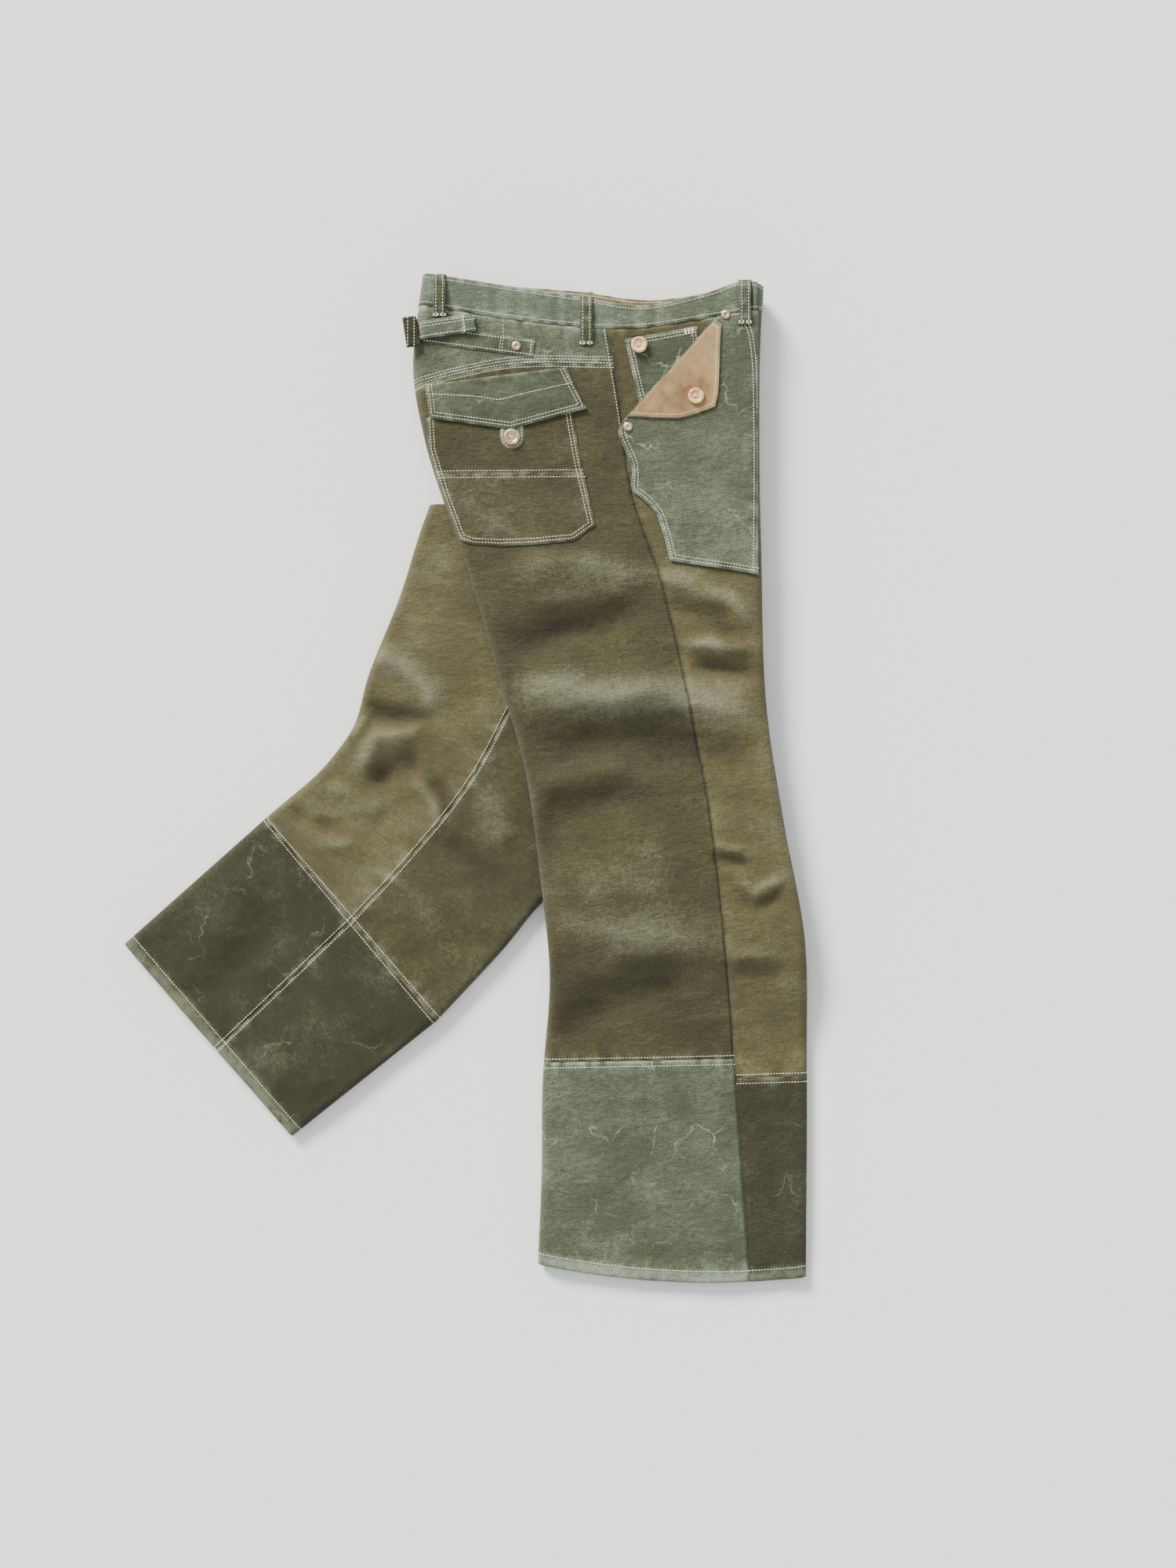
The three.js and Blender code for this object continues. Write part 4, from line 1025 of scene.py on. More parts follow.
@dataclass
class Panels:
    """The cut panels of both legs, from the yoke to the hems."""

    pattern: Pattern
    leg: LeftLeg
    finishes: Finishes
    room: Workroom
    step: float = 3.4
    fold_steps: int = 7

    def seam_wear(self, distance: Array, along: Array, seed: int) -> Array:
        """Pale, puckered cloth beside a seam.

        Args:
            distance: Distance from the seam.
            along: Distance along it.
            seed: Picks the puckers.

        Returns:
            What it adds to the wear.
        """
        pucker = Noise(seed, 7.5)(along, distance * 0.4)
        return 0.22 * np.exp(-distance / 3.0) + 0.3 * pucker * np.exp(-distance / 9.0)

    def pucker(self, distance: Array, along: Array, seed: int) -> Array:
        """Height of the puckers beside a seam."""
        return 0.55 * Noise(seed, 7.5)(along, distance * 0.4) * np.exp(-distance / 9.0) - 0.5 * np.exp(-((distance / 1.6) ** 2))

    def upper(
        self,
        fold: Edge,
        top: Callable[[Array], Array],
        foot: Callable[[Array], Array],
        base: float,
        seed: int,
        seams: tuple[bool, bool] = (True, True),
        thick: float = 1.2,
        hem: bool = False,
    ) -> Sheet:
        """The half of a panel that faces up, from the side seam to a fold.

        Args:
            fold: The fold that it runs to.
            top: Its upper edge, a height for each x.
            foot: Its lower edge.
            base: How faded it is.
            seed: Picks its puckers.
            seams: Whether its upper and lower edges are sewn.
            thick: Its thickness.
            hem: Whether its foot is a hem, folded double.

        Returns:
            The sheet.
        """
        p = self.pattern
        edge = p.seat_fold if fold is Edge.SEAT else p.fly_fold
        sign, reach = fold.value, 11.0
        y_mid = float((top(130.0) + foot(130.0)) / 2)
        width = abs(float(edge(y_mid) - p.side_seam(y_mid))) - reach
        count = max(int(width / self.step), 6)
        length = float(top(130.0) - foot(130.0))
        rows = max(int(length / self.step), 4)
        shares = np.linspace(0, 1, count + 1)[:-1]
        angles = np.linspace(math.pi / 2, 0, self.fold_steps)
        inset = reach * (1 - np.cos(angles))
        v = np.linspace(0, 1, rows + 1)[:, None]
        y = mix(float(top(130.0)), float(foot(130.0)), v) + np.zeros((1, count + self.fold_steps))
        for _ in range(5):
            seam = p.side_seam(y) - sign * p.seam
            x = np.empty_like(y)
            x[:, :count] = mix(seam[:, :count], edge(y[:, :count]) + sign * reach, shares)
            x[:, count:] = edge(y[:, count:]) + sign * inset
            y = mix(top(x), foot(x), v)
        z = p.ground(x, y)
        from_side = np.abs(x - p.side_seam(y))
        from_top, from_foot = np.abs(top(x) - y), np.abs(y - foot(x))
        z += self.pucker(from_side, y, seed) * 0.7
        # The tint adds the folds' fading, painted light on the ridges and painted shade in the hollows.
        wear = base + p.tint(x, y) + self.seam_wear(from_side, y, seed) * 0.35
        wear = wear - 0.3 * np.exp(-((from_side / 1.5) ** 2))
        for sewn, gap, k in ((seams[0], from_top, 1), (seams[1], from_foot, 2)):
            if sewn:
                calm = ease(np.abs(x - edge(y)), 0, 14)
                z += self.pucker(gap, x, seed + k) * calm
                wear = wear + self.seam_wear(gap, x, seed + k)
        wall: Array | float = thick
        if hem:
            wear = wear + 0.42 * np.exp(-((from_foot / 13) ** 4)) + 0.22 * Noise(seed + 7, 6)(x, from_foot * 0.5) * np.exp(-from_foot / 16)
            wall = mix(thick, 2 * thick, ease(from_foot, 15, 13))
        flat_x = x.copy()
        arc = reach * (math.pi / 2 - angles)
        flat_x[:, count:] = edge(y[:, count:]) + sign * (reach - arc)
        return Sheet(np.stack([x, y, z], -1), np.stack([flat_x, y], -1), wear, wall)

    def under(self, fold: Edge, top: float, foot: Callable[[Array], Array], base: float, hem: bool = False) -> Sheet:
        """The half of a right leg panel that lies under it, from a fold to the inseam.

        Args:
            fold: The fold that it runs from.
            top: Height of its upper edge on the garment.
            foot: Its lower edge.
            base: How faded it is.
            hem: Whether its foot is a hem.

        Returns:
            The sheet.
        """
        p = self.pattern
        edge = p.seat_fold if fold is Edge.SEAT else p.fly_fold
        sign, reach, coarse = fold.value, 11.0, 7.0
        rows = max(int((top - float(foot(130.0))) / coarse), 3)
        angles = np.linspace(0, math.pi / 2, self.fold_steps)
        shares = np.linspace(0, 1, 19)[1:]
        v = np.linspace(0, 1, rows + 1)[:, None]
        columns = len(angles) + len(shares)
        y = mix(top, float(foot(130.0)), v) + np.zeros((1, columns))
        for _ in range(4):
            x = np.empty_like(y)
            start = edge(y) + sign * reach
            middle = (p.seat_fold(y) + p.fly_fold(y)) / 2 - sign * p.seam
            x[:, : len(angles)] = edge(y[:, : len(angles)]) + sign * reach * (1 - np.cos(angles))
            x[:, len(angles) :] = mix(start[:, len(angles) :], middle[:, len(angles) :], shares)
            y = mix(top, foot(x), v)
        low = p.raised(y)
        hip = ease(y, p.crotch - 20, p.crotch + 45)
        depth = p.leg_depth / 2
        middle_z = mix(low + depth, p.hip_middle, hip)
        over = np.clip(1 - np.abs(x - edge(y)) / reach, 0, 1)
        z = middle_z + (low + 0.05 - middle_z) * np.sqrt(1 - over**2)
        from_foot = np.abs(y - foot(x))
        wall: Array | float = mix(1.2, 2.4, ease(from_foot, 15, 13)) if hem else 1.2
        wear = base + 0.1 * Noise(77, 40)(x, y) + (0.3 * np.exp(-((from_foot / 13) ** 4)) if hem else 0.0)
        return Sheet(np.stack([x, y, z], -1), np.stack([x, y], -1), wear + 0 * x, wall, facing=(-1, -1))

    def hip_under(self, fold: Edge, top: Callable[[Array], Array], foot: Callable[[Array], Array], base: float) -> Sheet:
        """The left side's hip, which faces the floor, from the side seam to a fold."""
        up = self.upper(fold, top, foot, base, 61)
        p = self.pattern
        x, y = up.points[..., 0], up.points[..., 1]
        edge = np.minimum(x - p.seat_fold(y), p.fly_fold(y) - x)
        over = np.clip(1 - edge / 11.0, 0, 1)
        up.points[..., 2] = p.hip_middle - (p.hip_middle - p.underside) * np.sqrt(1 - over**2)
        up.wear = base + 0.12 * Noise(78, 45)(x, y)
        up.facing = (0, -1)
        return up

    def left_panel(self, fold: Edge, start: float, end: float, base: float, seed: int, hem: bool = False) -> Sheet:
        """A left leg panel: over the top from the inseam to a fold, and back underneath to the side seam.

        Args:
            fold: The fold that it goes round.
            start: Where it starts along the leg.
            end: Where it ends.
            base: How faded it is.
            seed: Picks its puckers.
            hem: Whether it ends in a hem.

        Returns:
            The sheet.
        """
        leg, reach = self.leg, self.leg.reach
        rows = max(int((end - start) / self.step), 4)
        run = np.linspace(start, end, rows + 1)[:, None]
        seat, fly = leg.edges(run[:, 0])
        width = np.linalg.norm(fly - seat, axis=1)[:, None]
        inner, outer = leg.share("inner", run), leg.share("outer", run)
        gap = self.pattern.seam / width
        round_share = reach / width
        if fold is Edge.SEAT:
            from_top, to_edge, from_under, sign = inner - gap, round_share, outer - gap, 1.0
        else:
            from_top, to_edge, from_under, sign = inner + gap, 1 - round_share, outer + gap, -1.0
        count = int(float(np.abs(from_top - to_edge).mean() * width.mean()) / self.step)
        a = np.linspace(0, 1, count + 1)[:-1]
        turn = np.linspace(math.pi / 2, -math.pi / 2, 2 * self.fold_steps - 1)
        b = np.linspace(0, 1, 20)[1:]
        edge = 0.0 if fold is Edge.SEAT else 1.0
        flat = mix(from_top, to_edge, a)
        curve = edge + sign * round_share * (1 - np.cos(turn))
        back = mix(to_edge, from_under, b)
        share = np.concatenate([flat, curve, back], 1)
        is_top = np.concatenate([np.ones(count, bool), turn >= -1e-9, np.zeros(len(b), bool)])
        ones = run + 0 * share
        points = np.where(is_top[None, :, None], leg.place(ones, share, True), leg.place(ones, share, False))
        x, y = points[..., 0], points[..., 1]
        from_seam = np.abs(share - inner) * width + np.where(is_top, 0, 200)
        from_start, from_end = ones - start, end - ones
        # On the upper face, the tint adds the folds' fading, painted light on the ridges and painted shade in the
        # hollows.
        wear = base + leg.tint(x, y) * is_top + self.seam_wear(from_seam, ones, seed)
        lift = self.pucker(from_seam, ones, seed)
        if start > 200:
            wear = wear + self.seam_wear(from_start, share * width, seed + 1)
            lift += self.pucker(from_start, share * width, seed + 1)
        wall: Array | float = 1.2
        if hem:
            wear = wear + 0.42 * np.exp(-((from_end / 13) ** 4)) + 0.2 * Noise(seed + 7, 6)(share * width, from_end * 0.5) * np.exp(-from_end / 16)
            wall = mix(1.2, 2.4, ease(from_end, 15, 13))
        else:
            wear = wear + self.seam_wear(from_end, share * width, seed + 2)
            lift += self.pucker(from_end, share * width, seed + 2)
        on_top = is_top & (np.concatenate([np.ones(count), np.sin(np.clip(turn, 0, 9)), np.zeros(len(b))]) > 0.3)
        points[..., 2] += lift * on_top
        arc = np.concatenate([np.zeros((len(share), 1)), np.cumsum(np.linalg.norm(np.diff(points, axis=1), axis=2), axis=1)], 1)
        # The weft lies across the leg, and the inseam is where the two panels' weaves meet.
        uv = np.stack([-sign * arc, ones], -1)
        return Sheet(points, uv, wear, wall)

    def cuff_back(self, x: Array) -> Array:
        """The seam of the right back cuff."""
        return self.pattern.cuff_back + 0.02 * (np.asarray(x) - 90)

    def cuff_front(self, x: Array) -> Array:
        """The seam of the right front cuff."""
        return self.pattern.cuff_front + 0.03 * (np.asarray(x) - 296)

    def build(self) -> None:
        """Sews every panel."""
        p, f, sew = self.pattern, self.finishes, self.room.sew
        gap = p.seam
        yoke = lambda x: p.yoke_seam(x)  # noqa: E731
        band = lambda x: p.band_foot(x) - 0.9  # noqa: E731
        cuff_back, cuff_front = self.cuff_back, self.cuff_front
        over, under = (lambda line: lambda x: line(x) + gap), (lambda line: lambda x: line(x) - gap)  # noqa: E731
        end = lambda x: p.hem(x)  # noqa: E731
        sew("yoke_right", [self.upper(Edge.SEAT, band, over(yoke), 0.52, 3)], f.washed, ["right_yoke"], "faded_canvas")
        back = [
            self.upper(Edge.SEAT, under(yoke), over(cuff_back), 0.42, 5),
            self.under(Edge.SEAT, p.crotch + 20, over(cuff_back), 0.4),
        ]
        sew("back_panel_right", back, f.olive, ["right_back_panel"], "canvas", rests_on=["left_back_leg"])
        front = [
            self.upper(Edge.FLY, band, over(cuff_front), 0.46, 9),
            self.under(Edge.FLY, p.crotch + 20, over(cuff_front), 0.4),
        ]
        # The hip kept its dye under the pockets' shade.
        front[0].wear -= 0.16 * ease(front[0].points[..., 1], 340, 410)
        sew("front_panel_right", front, f.thigh, ["right_front_panel"], "canvas", rests_on=["left_front_panel"])
        cuff = [
            self.upper(Edge.SEAT, under(cuff_back), end, 0.5, 13, (True, False), hem=True),
            self.under(Edge.SEAT, p.cuff_back - gap, end, 0.4, True),
        ]
        sew("back_cuff_right", cuff, f.washed, ["right_back_cuff"], "faded_canvas")
        cuff = [
            self.upper(Edge.FLY, under(cuff_front), end, 0.46, 17, (True, False), hem=True),
            self.under(Edge.FLY, p.cuff_front - gap, end, 0.4, True),
        ]
        sew("front_cuff_right", cuff, f.cuff, ["right_front_cuff"], "cuff_canvas")

        level = lambda x: 300.0 + 0 * np.asarray(x)  # noqa: E731
        far = lambda x: p.band_foot(x) + p.far_side(x) - 0.9  # noqa: E731
        sew("yoke_left", [self.hip_under(Edge.SEAT, far, over(yoke), 0.6)], f.washed, ["left_yoke"], "faded_canvas")
        sew("back_panel_left", [self.hip_under(Edge.SEAT, under(yoke), level, 0.45)], f.olive, ["left_back_panel"], "canvas")
        sew("front_panel_left", [self.hip_under(Edge.FLY, far, level, 0.45)], f.thigh, ["left_front_panel"], "canvas")
        seam, hem = self.leg.runs[-2], self.leg.runs[-1]
        sew("back_leg_left", [self.left_panel(Edge.SEAT, 0, seam - gap, 0.5, 21)], f.thigh, ["left_back_leg"], "canvas", None)
        sew("front_leg_left", [self.left_panel(Edge.FLY, 0, seam - gap, 0.44, 25)], f.olive, ["left_front_leg"], "canvas", None)
        cuffs = (("back", Edge.SEAT, 29), ("front", Edge.FLY, 33))
        for name, fold, seed in cuffs:
            sheet = self.left_panel(fold, seam + gap, hem, 0.42, seed, True)
            sew(f"{name}_cuff_left", [sheet], f.cuff, [f"left_{name}_cuff"], "cuff_canvas", Body.LEFT_LEG)


# ---- Flat details -------------------------------------------------------------------------------


def coons(top: Array, foot: Array, left: Array, right: Array, step: float) -> Array:
    """A grid that fills four edges.

    Args:
        top: The upper edge, from left to right.
        foot: The lower edge, from left to right.
        left: The left edge, from the top down.
        right: The right edge, from the top down.
        step: Spacing of the grid.

    Returns:
        (rows, columns, 2) points.
    """
    run = lambda p: float(np.linalg.norm(np.diff(np.array(p, float), axis=0), axis=1).sum())  # noqa: E731
    cols = max(int(max(run(top), run(foot)) / step), 4) + 1
    rows = max(int(max(run(left), run(right)) / step), 4) + 1
    t, f, le, ri = resample(top, cols), resample(foot, cols), resample(left, rows), resample(right, rows)
    u, v = np.linspace(0, 1, cols)[None, :, None], np.linspace(0, 1, rows)[:, None, None]
    ruled = mix(t[None], f[None], v) + mix(le[:, None], ri[:, None], u)
    return ruled - mix(mix(t[0], t[-1], u), mix(f[0], f[-1], u), v)


def around(centre: Point, hole: float, outline: Sequence[Point] | Array, step: float) -> Array:
    """A grid of rings from a round hole out to an outline.

    Args:
        centre: The hole's centre.
        hole: Its radius.
        outline: The corners of the outline.
        step: Spacing of the rings.

    Returns:
        (rows, columns, 2) points, whose last column is next to its first.
    """
    p = np.array(outline, float) - np.array(centre, float)
    corners = np.arctan2(p[:, 1], p[:, 0])
    angles = np.unique(np.round(np.concatenate([corners, np.linspace(-math.pi, math.pi, 97)[:-1]]), 3))
    ray = np.stack([np.cos(angles), np.sin(angles)], 1)
    far = np.full(len(angles), 1e9)
    for a, b in zip(p, np.roll(p, -1, 0), strict=True):
        d = b - a
        cross = ray[:, 0] * d[1] - ray[:, 1] * d[0]
        cross = np.where(np.abs(cross) < 1e-9, 1e-9, cross)
        reach = (a[0] * d[1] - a[1] * d[0]) / cross
        share = (a[0] * ray[:, 1] - a[1] * ray[:, 0]) / cross
        hit = (reach > 0) & (share > -1e-6) & (share < 1 + 1e-6)
        far = np.where(hit, np.minimum(far, reach), far)
    rows = max(int((far.max() - hole) / step), 3)
    radius = hole + np.linspace(0, 1, rows + 1)[:, None] * (far - hole)[None]
    return np.array(centre, float) + radius[..., None] * ray[None]


@dataclass
class Details:
    """What every flat detail needs: the pattern, the finishes and the workroom."""

    pattern: Pattern
    finishes: Finishes
    room: Workroom

    def ply(self, count: int) -> float:
        """Height of the underside of the layer with that many layers beneath it."""
        return count * (self.pattern.cloth + 0.3) + 0.3

    def fitted(self, outline: Sequence[Point], node: str) -> Array:
        """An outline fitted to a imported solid's box.

        Args:
            outline: The outline.
            node: The solid.

        Returns:
            The outline, moved and scaled onto the box.
        """
        p = np.array(outline, float)
        low, high = (np.array(c)[:2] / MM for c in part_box(node))
        return low + (p - p.min(0)) * (high - low) / (p.max(0) - p.min(0))

    def lie(
        self, grid: Array, side: Side, lift: Array | float, base: float, seed: int, thick: float = 1.2, ring: bool = False, puff: float = 0.0,
        lively: Array | float = 1.0,
    ) -> Sheet:
        """Lays a flat grid on the hip.

        Args:
            grid: (rows, columns, 2) points.
            side: The side that it is on.
            lift: How far its outer face stands off the panels.
            base: How faded it is.
            seed: Picks its puckers.
            thick: Its thickness.
            ring: Whether it goes round a hole.
            puff: How far its middle stands up from its edges.
            lively: How much of its puckers' height it keeps.

        Returns:
            The sheet.
        """
        x, y = grid[..., 0], grid[..., 1]
        gaps = [np.linalg.norm(grid - grid[[k]], axis=2) for k in (0, -1)]
        if not ring:
            gaps += [np.linalg.norm(grid - grid[:, [k]], axis=2) for k in (0, -1)]
        edge = np.minimum.reduce(gaps[1:] if ring else gaps)
        pucker = Noise(seed, 8.0)(x, y)
        shape = 0.35 * pucker * np.exp(-edge / 8) - 0.35 * np.exp(-((edge / 1.8) ** 2))
        shape = shape + puff * (1 - np.exp(-((edge / 14) ** 2))) + 0.25 * Noise(seed + 3, 24)(x, y) * (1 - np.exp(-edge / 6))
        z = self.pattern.on(side, x, y, lift + np.maximum(shape, -0.5) * lively)
        # The tint brings the folds' fading, painted light and painted shade into the detail's colour.
        tint = self.pattern.tint(x, y) if side is Side.RIGHT else 0.0
        wear = base + 0.6 * tint + 0.22 * np.exp(-edge / 1.8) + 0.28 * pucker * np.exp(-edge / 9)
        facing = (0, 1 if side is Side.RIGHT else -1)
        return Sheet(np.stack([x, y, z], -1), np.stack([x, y], -1), wear, thick, ring, facing)


@dataclass
class BackPocket(Details):
    """Patch pocket with a pointed flap, a buttonhole tab behind the flap, and a shank button."""

    width: float = 166.0
    depth: float = 138.0
    taper: float = 17.0
    flap_side: float = 36.0
    flap_point: float = 58.5
    hinge: tuple[Point, Point] = ((-42, 427), (110, 446))

    def on_flap(self, across: float, drop: float) -> Point:
        """A point of the flap, from its distance along its hinge line and down from it."""
        a, b = np.array(self.hinge, float)
        along = (b - a) / np.linalg.norm(b - a)
        return tuple(a + along * across + np.array([along[1], -along[0]]) * drop)

    @property
    def reach(self) -> float:
        """Length of the hinge line."""
        return float(np.linalg.norm(np.subtract(*self.hinge)))

    @property
    def button(self) -> Point:
        """Where the button is sewn."""
        return self.on_flap(0.56 * self.reach, self.flap_point + 9.1)

    def pocket_outline(self) -> dict[str, list[Point]]:
        """The pocket's four edges."""
        x, y, w, d, t = -41.0, 391.0, self.width, self.depth, self.taper
        left = [(x, y), (x + 0.13 * t, y - 0.25 * d), (x + 1.0 * t, y - 0.6 * d), (x + 2 * t, y - 0.93 * d)]
        foot = [left[-1], (x + 2 * t + 2, y - 0.955 * d), (x + 0.3 * w, y - 0.99 * d), (x + 0.48 * w, y - d), (x + 0.7 * w, y - 0.99 * d), (x + 0.86 * w + t, y - 0.96 * d)]
        foot.append((x + w + t, y - 0.84 * d))
        right = [(x + w - t / 2, y + 0.06 * d), (x + w, y - 0.3 * d), (x + w + 0.55 * t, y - 0.6 * d), foot[-1]]
        return {"top": [left[0], right[0]], "foot": foot, "left": left, "right": right}

    def build(self, side: Side) -> None:
        """Builds one back pocket."""
        word, f = side.value, self.finishes
        edges = {k: np.array(v, float) for k, v in self.pocket_outline().items()}
        grid = coons(edges["top"], edges["foot"], edges["left"], edges["right"], 2.8)
        sheet = self.lie(grid, side, self.ply(0) + 1.2, 0.5, 41, puff=0.5)
        x, y = grid[..., 0], grid[..., 1]
        # The lower part is a second piece of cloth, lapped over the upper one and sewn with two rows.
        lap = y - (331 + 0.01 * (x - 50))
        lower = ease(lap, 2.5, 1.0)
        sheet.wear += mix(-0.1, 0.02, lower) + 0.2 * np.exp(-((lap / 2.2) ** 2)) + 0.2 * Noise(44, 7)(x, y) * np.exp(-((lap / 8) ** 2))
        sheet.points[..., 2] += (0.7 * lower * np.exp(-np.maximum(-lap, 0) / 30)) * (1 if side is Side.RIGHT else -1)
        self.room.sew(f"back_pocket_{word}", [sheet], f.olive, [f"{word}_back_pocket"], "canvas")

        mid, r = 0.56 * self.reach, self.reach
        left = [self.on_flap(0, 0), self.on_flap(0, self.flap_side)]
        right = [self.on_flap(r, 0), self.on_flap(r + 0.7 * self.taper, self.flap_side), self.on_flap(r + self.taper, 1.3 * self.flap_side)]
        foot = [left[-1], self.on_flap(mid - 8, self.flap_point - 1.6), self.on_flap(mid, self.flap_point), self.on_flap(mid + 8, self.flap_point - 1.2), right[-1]]
        grid = coons(np.array([left[0], right[0]]), np.array(foot), np.array(left), np.array(right), 2.6)
        sheet = self.lie(grid, side, self.ply(2) + 1.2, 0.42, 47, puff=0.9)
        body = Body.RIGHT_BACK_FLAP if side is Side.RIGHT else Body.LEFT_BACK_FLAP
        sheet.wear += 0.08 * np.exp(-(((grid[..., 1] - 415) / 8) ** 2))
        self.room.sew(f"back_flap_{word}", [sheet], f.washed, [f"{word}_back_flap"], "faded_canvas", body)

        bx, by = self.button
        rim, up = 12.4, 18.7
        turn = np.linspace(math.pi, 2 * math.pi, 17)
        outline = [(bx + rim * math.cos(a), by + rim * math.sin(a)) for a in turn] + [(bx + rim, by + up), (bx - rim, by + up)]
        grid = around(self.button, 7.2, outline, 1.6)
        sheet = self.lie(grid, side, self.ply(1) + 1.2, 0.55, 53, ring=True)
        self.room.sew(f"flap_tab_{word}", [sheet], f.band, [f"{word}_flap_tab"], "band_canvas", body)


@dataclass
class FrontPocket(Details):
    """Coin pocket, the big front patch, and its corner folded back to show the drill lining."""

    mouth: Point = (229.0, 452.5)
    slope: Point = (0.67, 0.742)
    hold: Point = (-13.5, 41.5)

    def from_mouth(self, along: float, out: float) -> Point:
        """A point from its distance along the fold line and out from it, towards the fly."""
        a = np.array(self.slope) / np.linalg.norm(self.slope)
        return tuple(np.array(self.mouth) + a * along + np.array([a[1], -a[0]]) * out)

    def flap_outline(self) -> list[Point]:
        """The turned-back corner, flat."""
        return [self.from_mouth(*p) for p in ((60, 0.6), (63, 10), (42, 27), (20, 46), (6, 57), (-8, 65), (-27, 55), (-45, 43), (-64, 21), (-80, 0.6))]

    def coin_edges(self) -> tuple[Point, Point, Point, Point]:
        """The coin pocket's corners: top left, top right, foot right, foot left."""
        x, y = 174.0, 476.5
        return (x, y), (x + 78, y + 14.5), (x + 93.6, y - 77), (x + 21.8, y - 94)

    def patch_edges(self) -> dict[str, Array]:
        """The front patch's four edges."""
        p = self.pattern
        fold = float(p.fly_fold(400)) - 2.5
        waist = lambda x: (x, float(p.band_foot(x)) - 1.2)  # noqa: E731
        mouth_top = self.from_mouth(66, 0.6)
        top = [self.from_mouth(-87, 0.6), mouth_top, waist(mouth_top[0] + 1), waist(300.0), waist(fold)]
        left = rounded([self.from_mouth(-87, 0.6), self.from_mouth(-100, 7), (181, 340), (181.5, 314), (193, 304), (208, 287), (217, 261), (223, 237)], 4)
        foot = [(223, 237), (255, 232), (290, 227), (fold, 222)]
        right = [(fold, float(p.band_foot(fold)) - 1.2), (fold, 222)]
        return {"top": np.array(top), "left": left, "foot": np.array(foot), "right": np.array(right)}

    def build(self, side: Side) -> None:
        """Builds one front pocket."""
        word, f = side.value, self.finishes
        a, b, c, d = self.coin_edges()
        grid = coons(np.array([a, b]), np.array([d, c]), np.array([a, d]), np.array([b, c]), 2.8)
        sheet = self.lie(grid, side, self.ply(0) + 0.9, 0.45, 57, lively=0.15)
        self.room.sew(f"coin_pocket_{word}", [sheet], f.washed, [f"{word}_coin_pocket"], "faded_canvas")

        edges = self.patch_edges()
        grid = coons(edges["top"], edges["foot"], edges["left"], edges["right"], 2.8)
        sheet = self.lie(grid, side, self.ply(1) + 1.1, 0.5, 59, puff=0.4, lively=mix(0.1, 1.0, ease(grid[..., 1], 375, 345)))
        x, y = grid[..., 0], grid[..., 1]
        # Paler towards the bottom, and darker towards the top round the corner flap.
        sheet.wear += 0.1 * ease(y, 350, 250) - 0.06 * ease(y, 380, 450)
        self.room.sew(f"front_patch_{word}", [sheet], f.washed, [f"{word}_front_patch"], "faded_canvas")

        closed = side is Side.LEFT
        body = Body.LEFT_CORNER if closed else Body.RIGHT_CORNER
        flip = (lambda q: (q[0], -q[1])) if closed else (lambda q: q)
        hole = self.from_mouth(*flip(self.hold))
        outline = self.flap_outline()
        if closed:
            outline = [self.from_mouth(*flip(self.to_mouth(q))) for q in outline]
        grid = around(hole, 7.6, outline, 2.4)
        canvas_lift = self.ply(2) + 1.2
        lining_lift = canvas_lift + 0.9
        if closed:
            # Turned over: the lining is against the coin pocket, and the canvas shows.
            canvas_lift, lining_lift = self.ply(1) + 2.3, self.ply(1) + 1.0
        sheet = self.lie(grid, side, canvas_lift, 0.45, 63, ring=True, lively=0.15)
        self.room.sew(f"corner_flap_{word}", [sheet], f.washed, [f"{word}_corner_flap"], "faded_canvas", body, Held.FOLDED)
        inner = around(hole, 7.6, np.array(hole) + (np.array(outline) - hole) * 0.965, 2.4)
        sheet = self.lie(inner, side, lining_lift, 0.6, 67, 0.7, ring=True, lively=0.15)
        # Paler and darker blotches: painted light and shade for old creases that the flat sheet lacks, and handling
        # marks.
        sheet.wear += 0.3 * Noise(69, 17)(inner[..., 0], inner[..., 1])
        self.room.sew(f"corner_lining_{word}", [sheet], f.twill, [f"{word}_corner_lining"], "twill", body, Held.FOLDED)

    def to_mouth(self, point: Point) -> Point:
        """A point's distance along the fold line and out from it."""
        a = np.array(self.slope) / np.linalg.norm(self.slope)
        d = np.array(point) - np.array(self.mouth)
        return float(d @ a), float(d @ np.array([a[1], -a[0]]))


# ---- Waist --------------------------------------------------------------------------------------


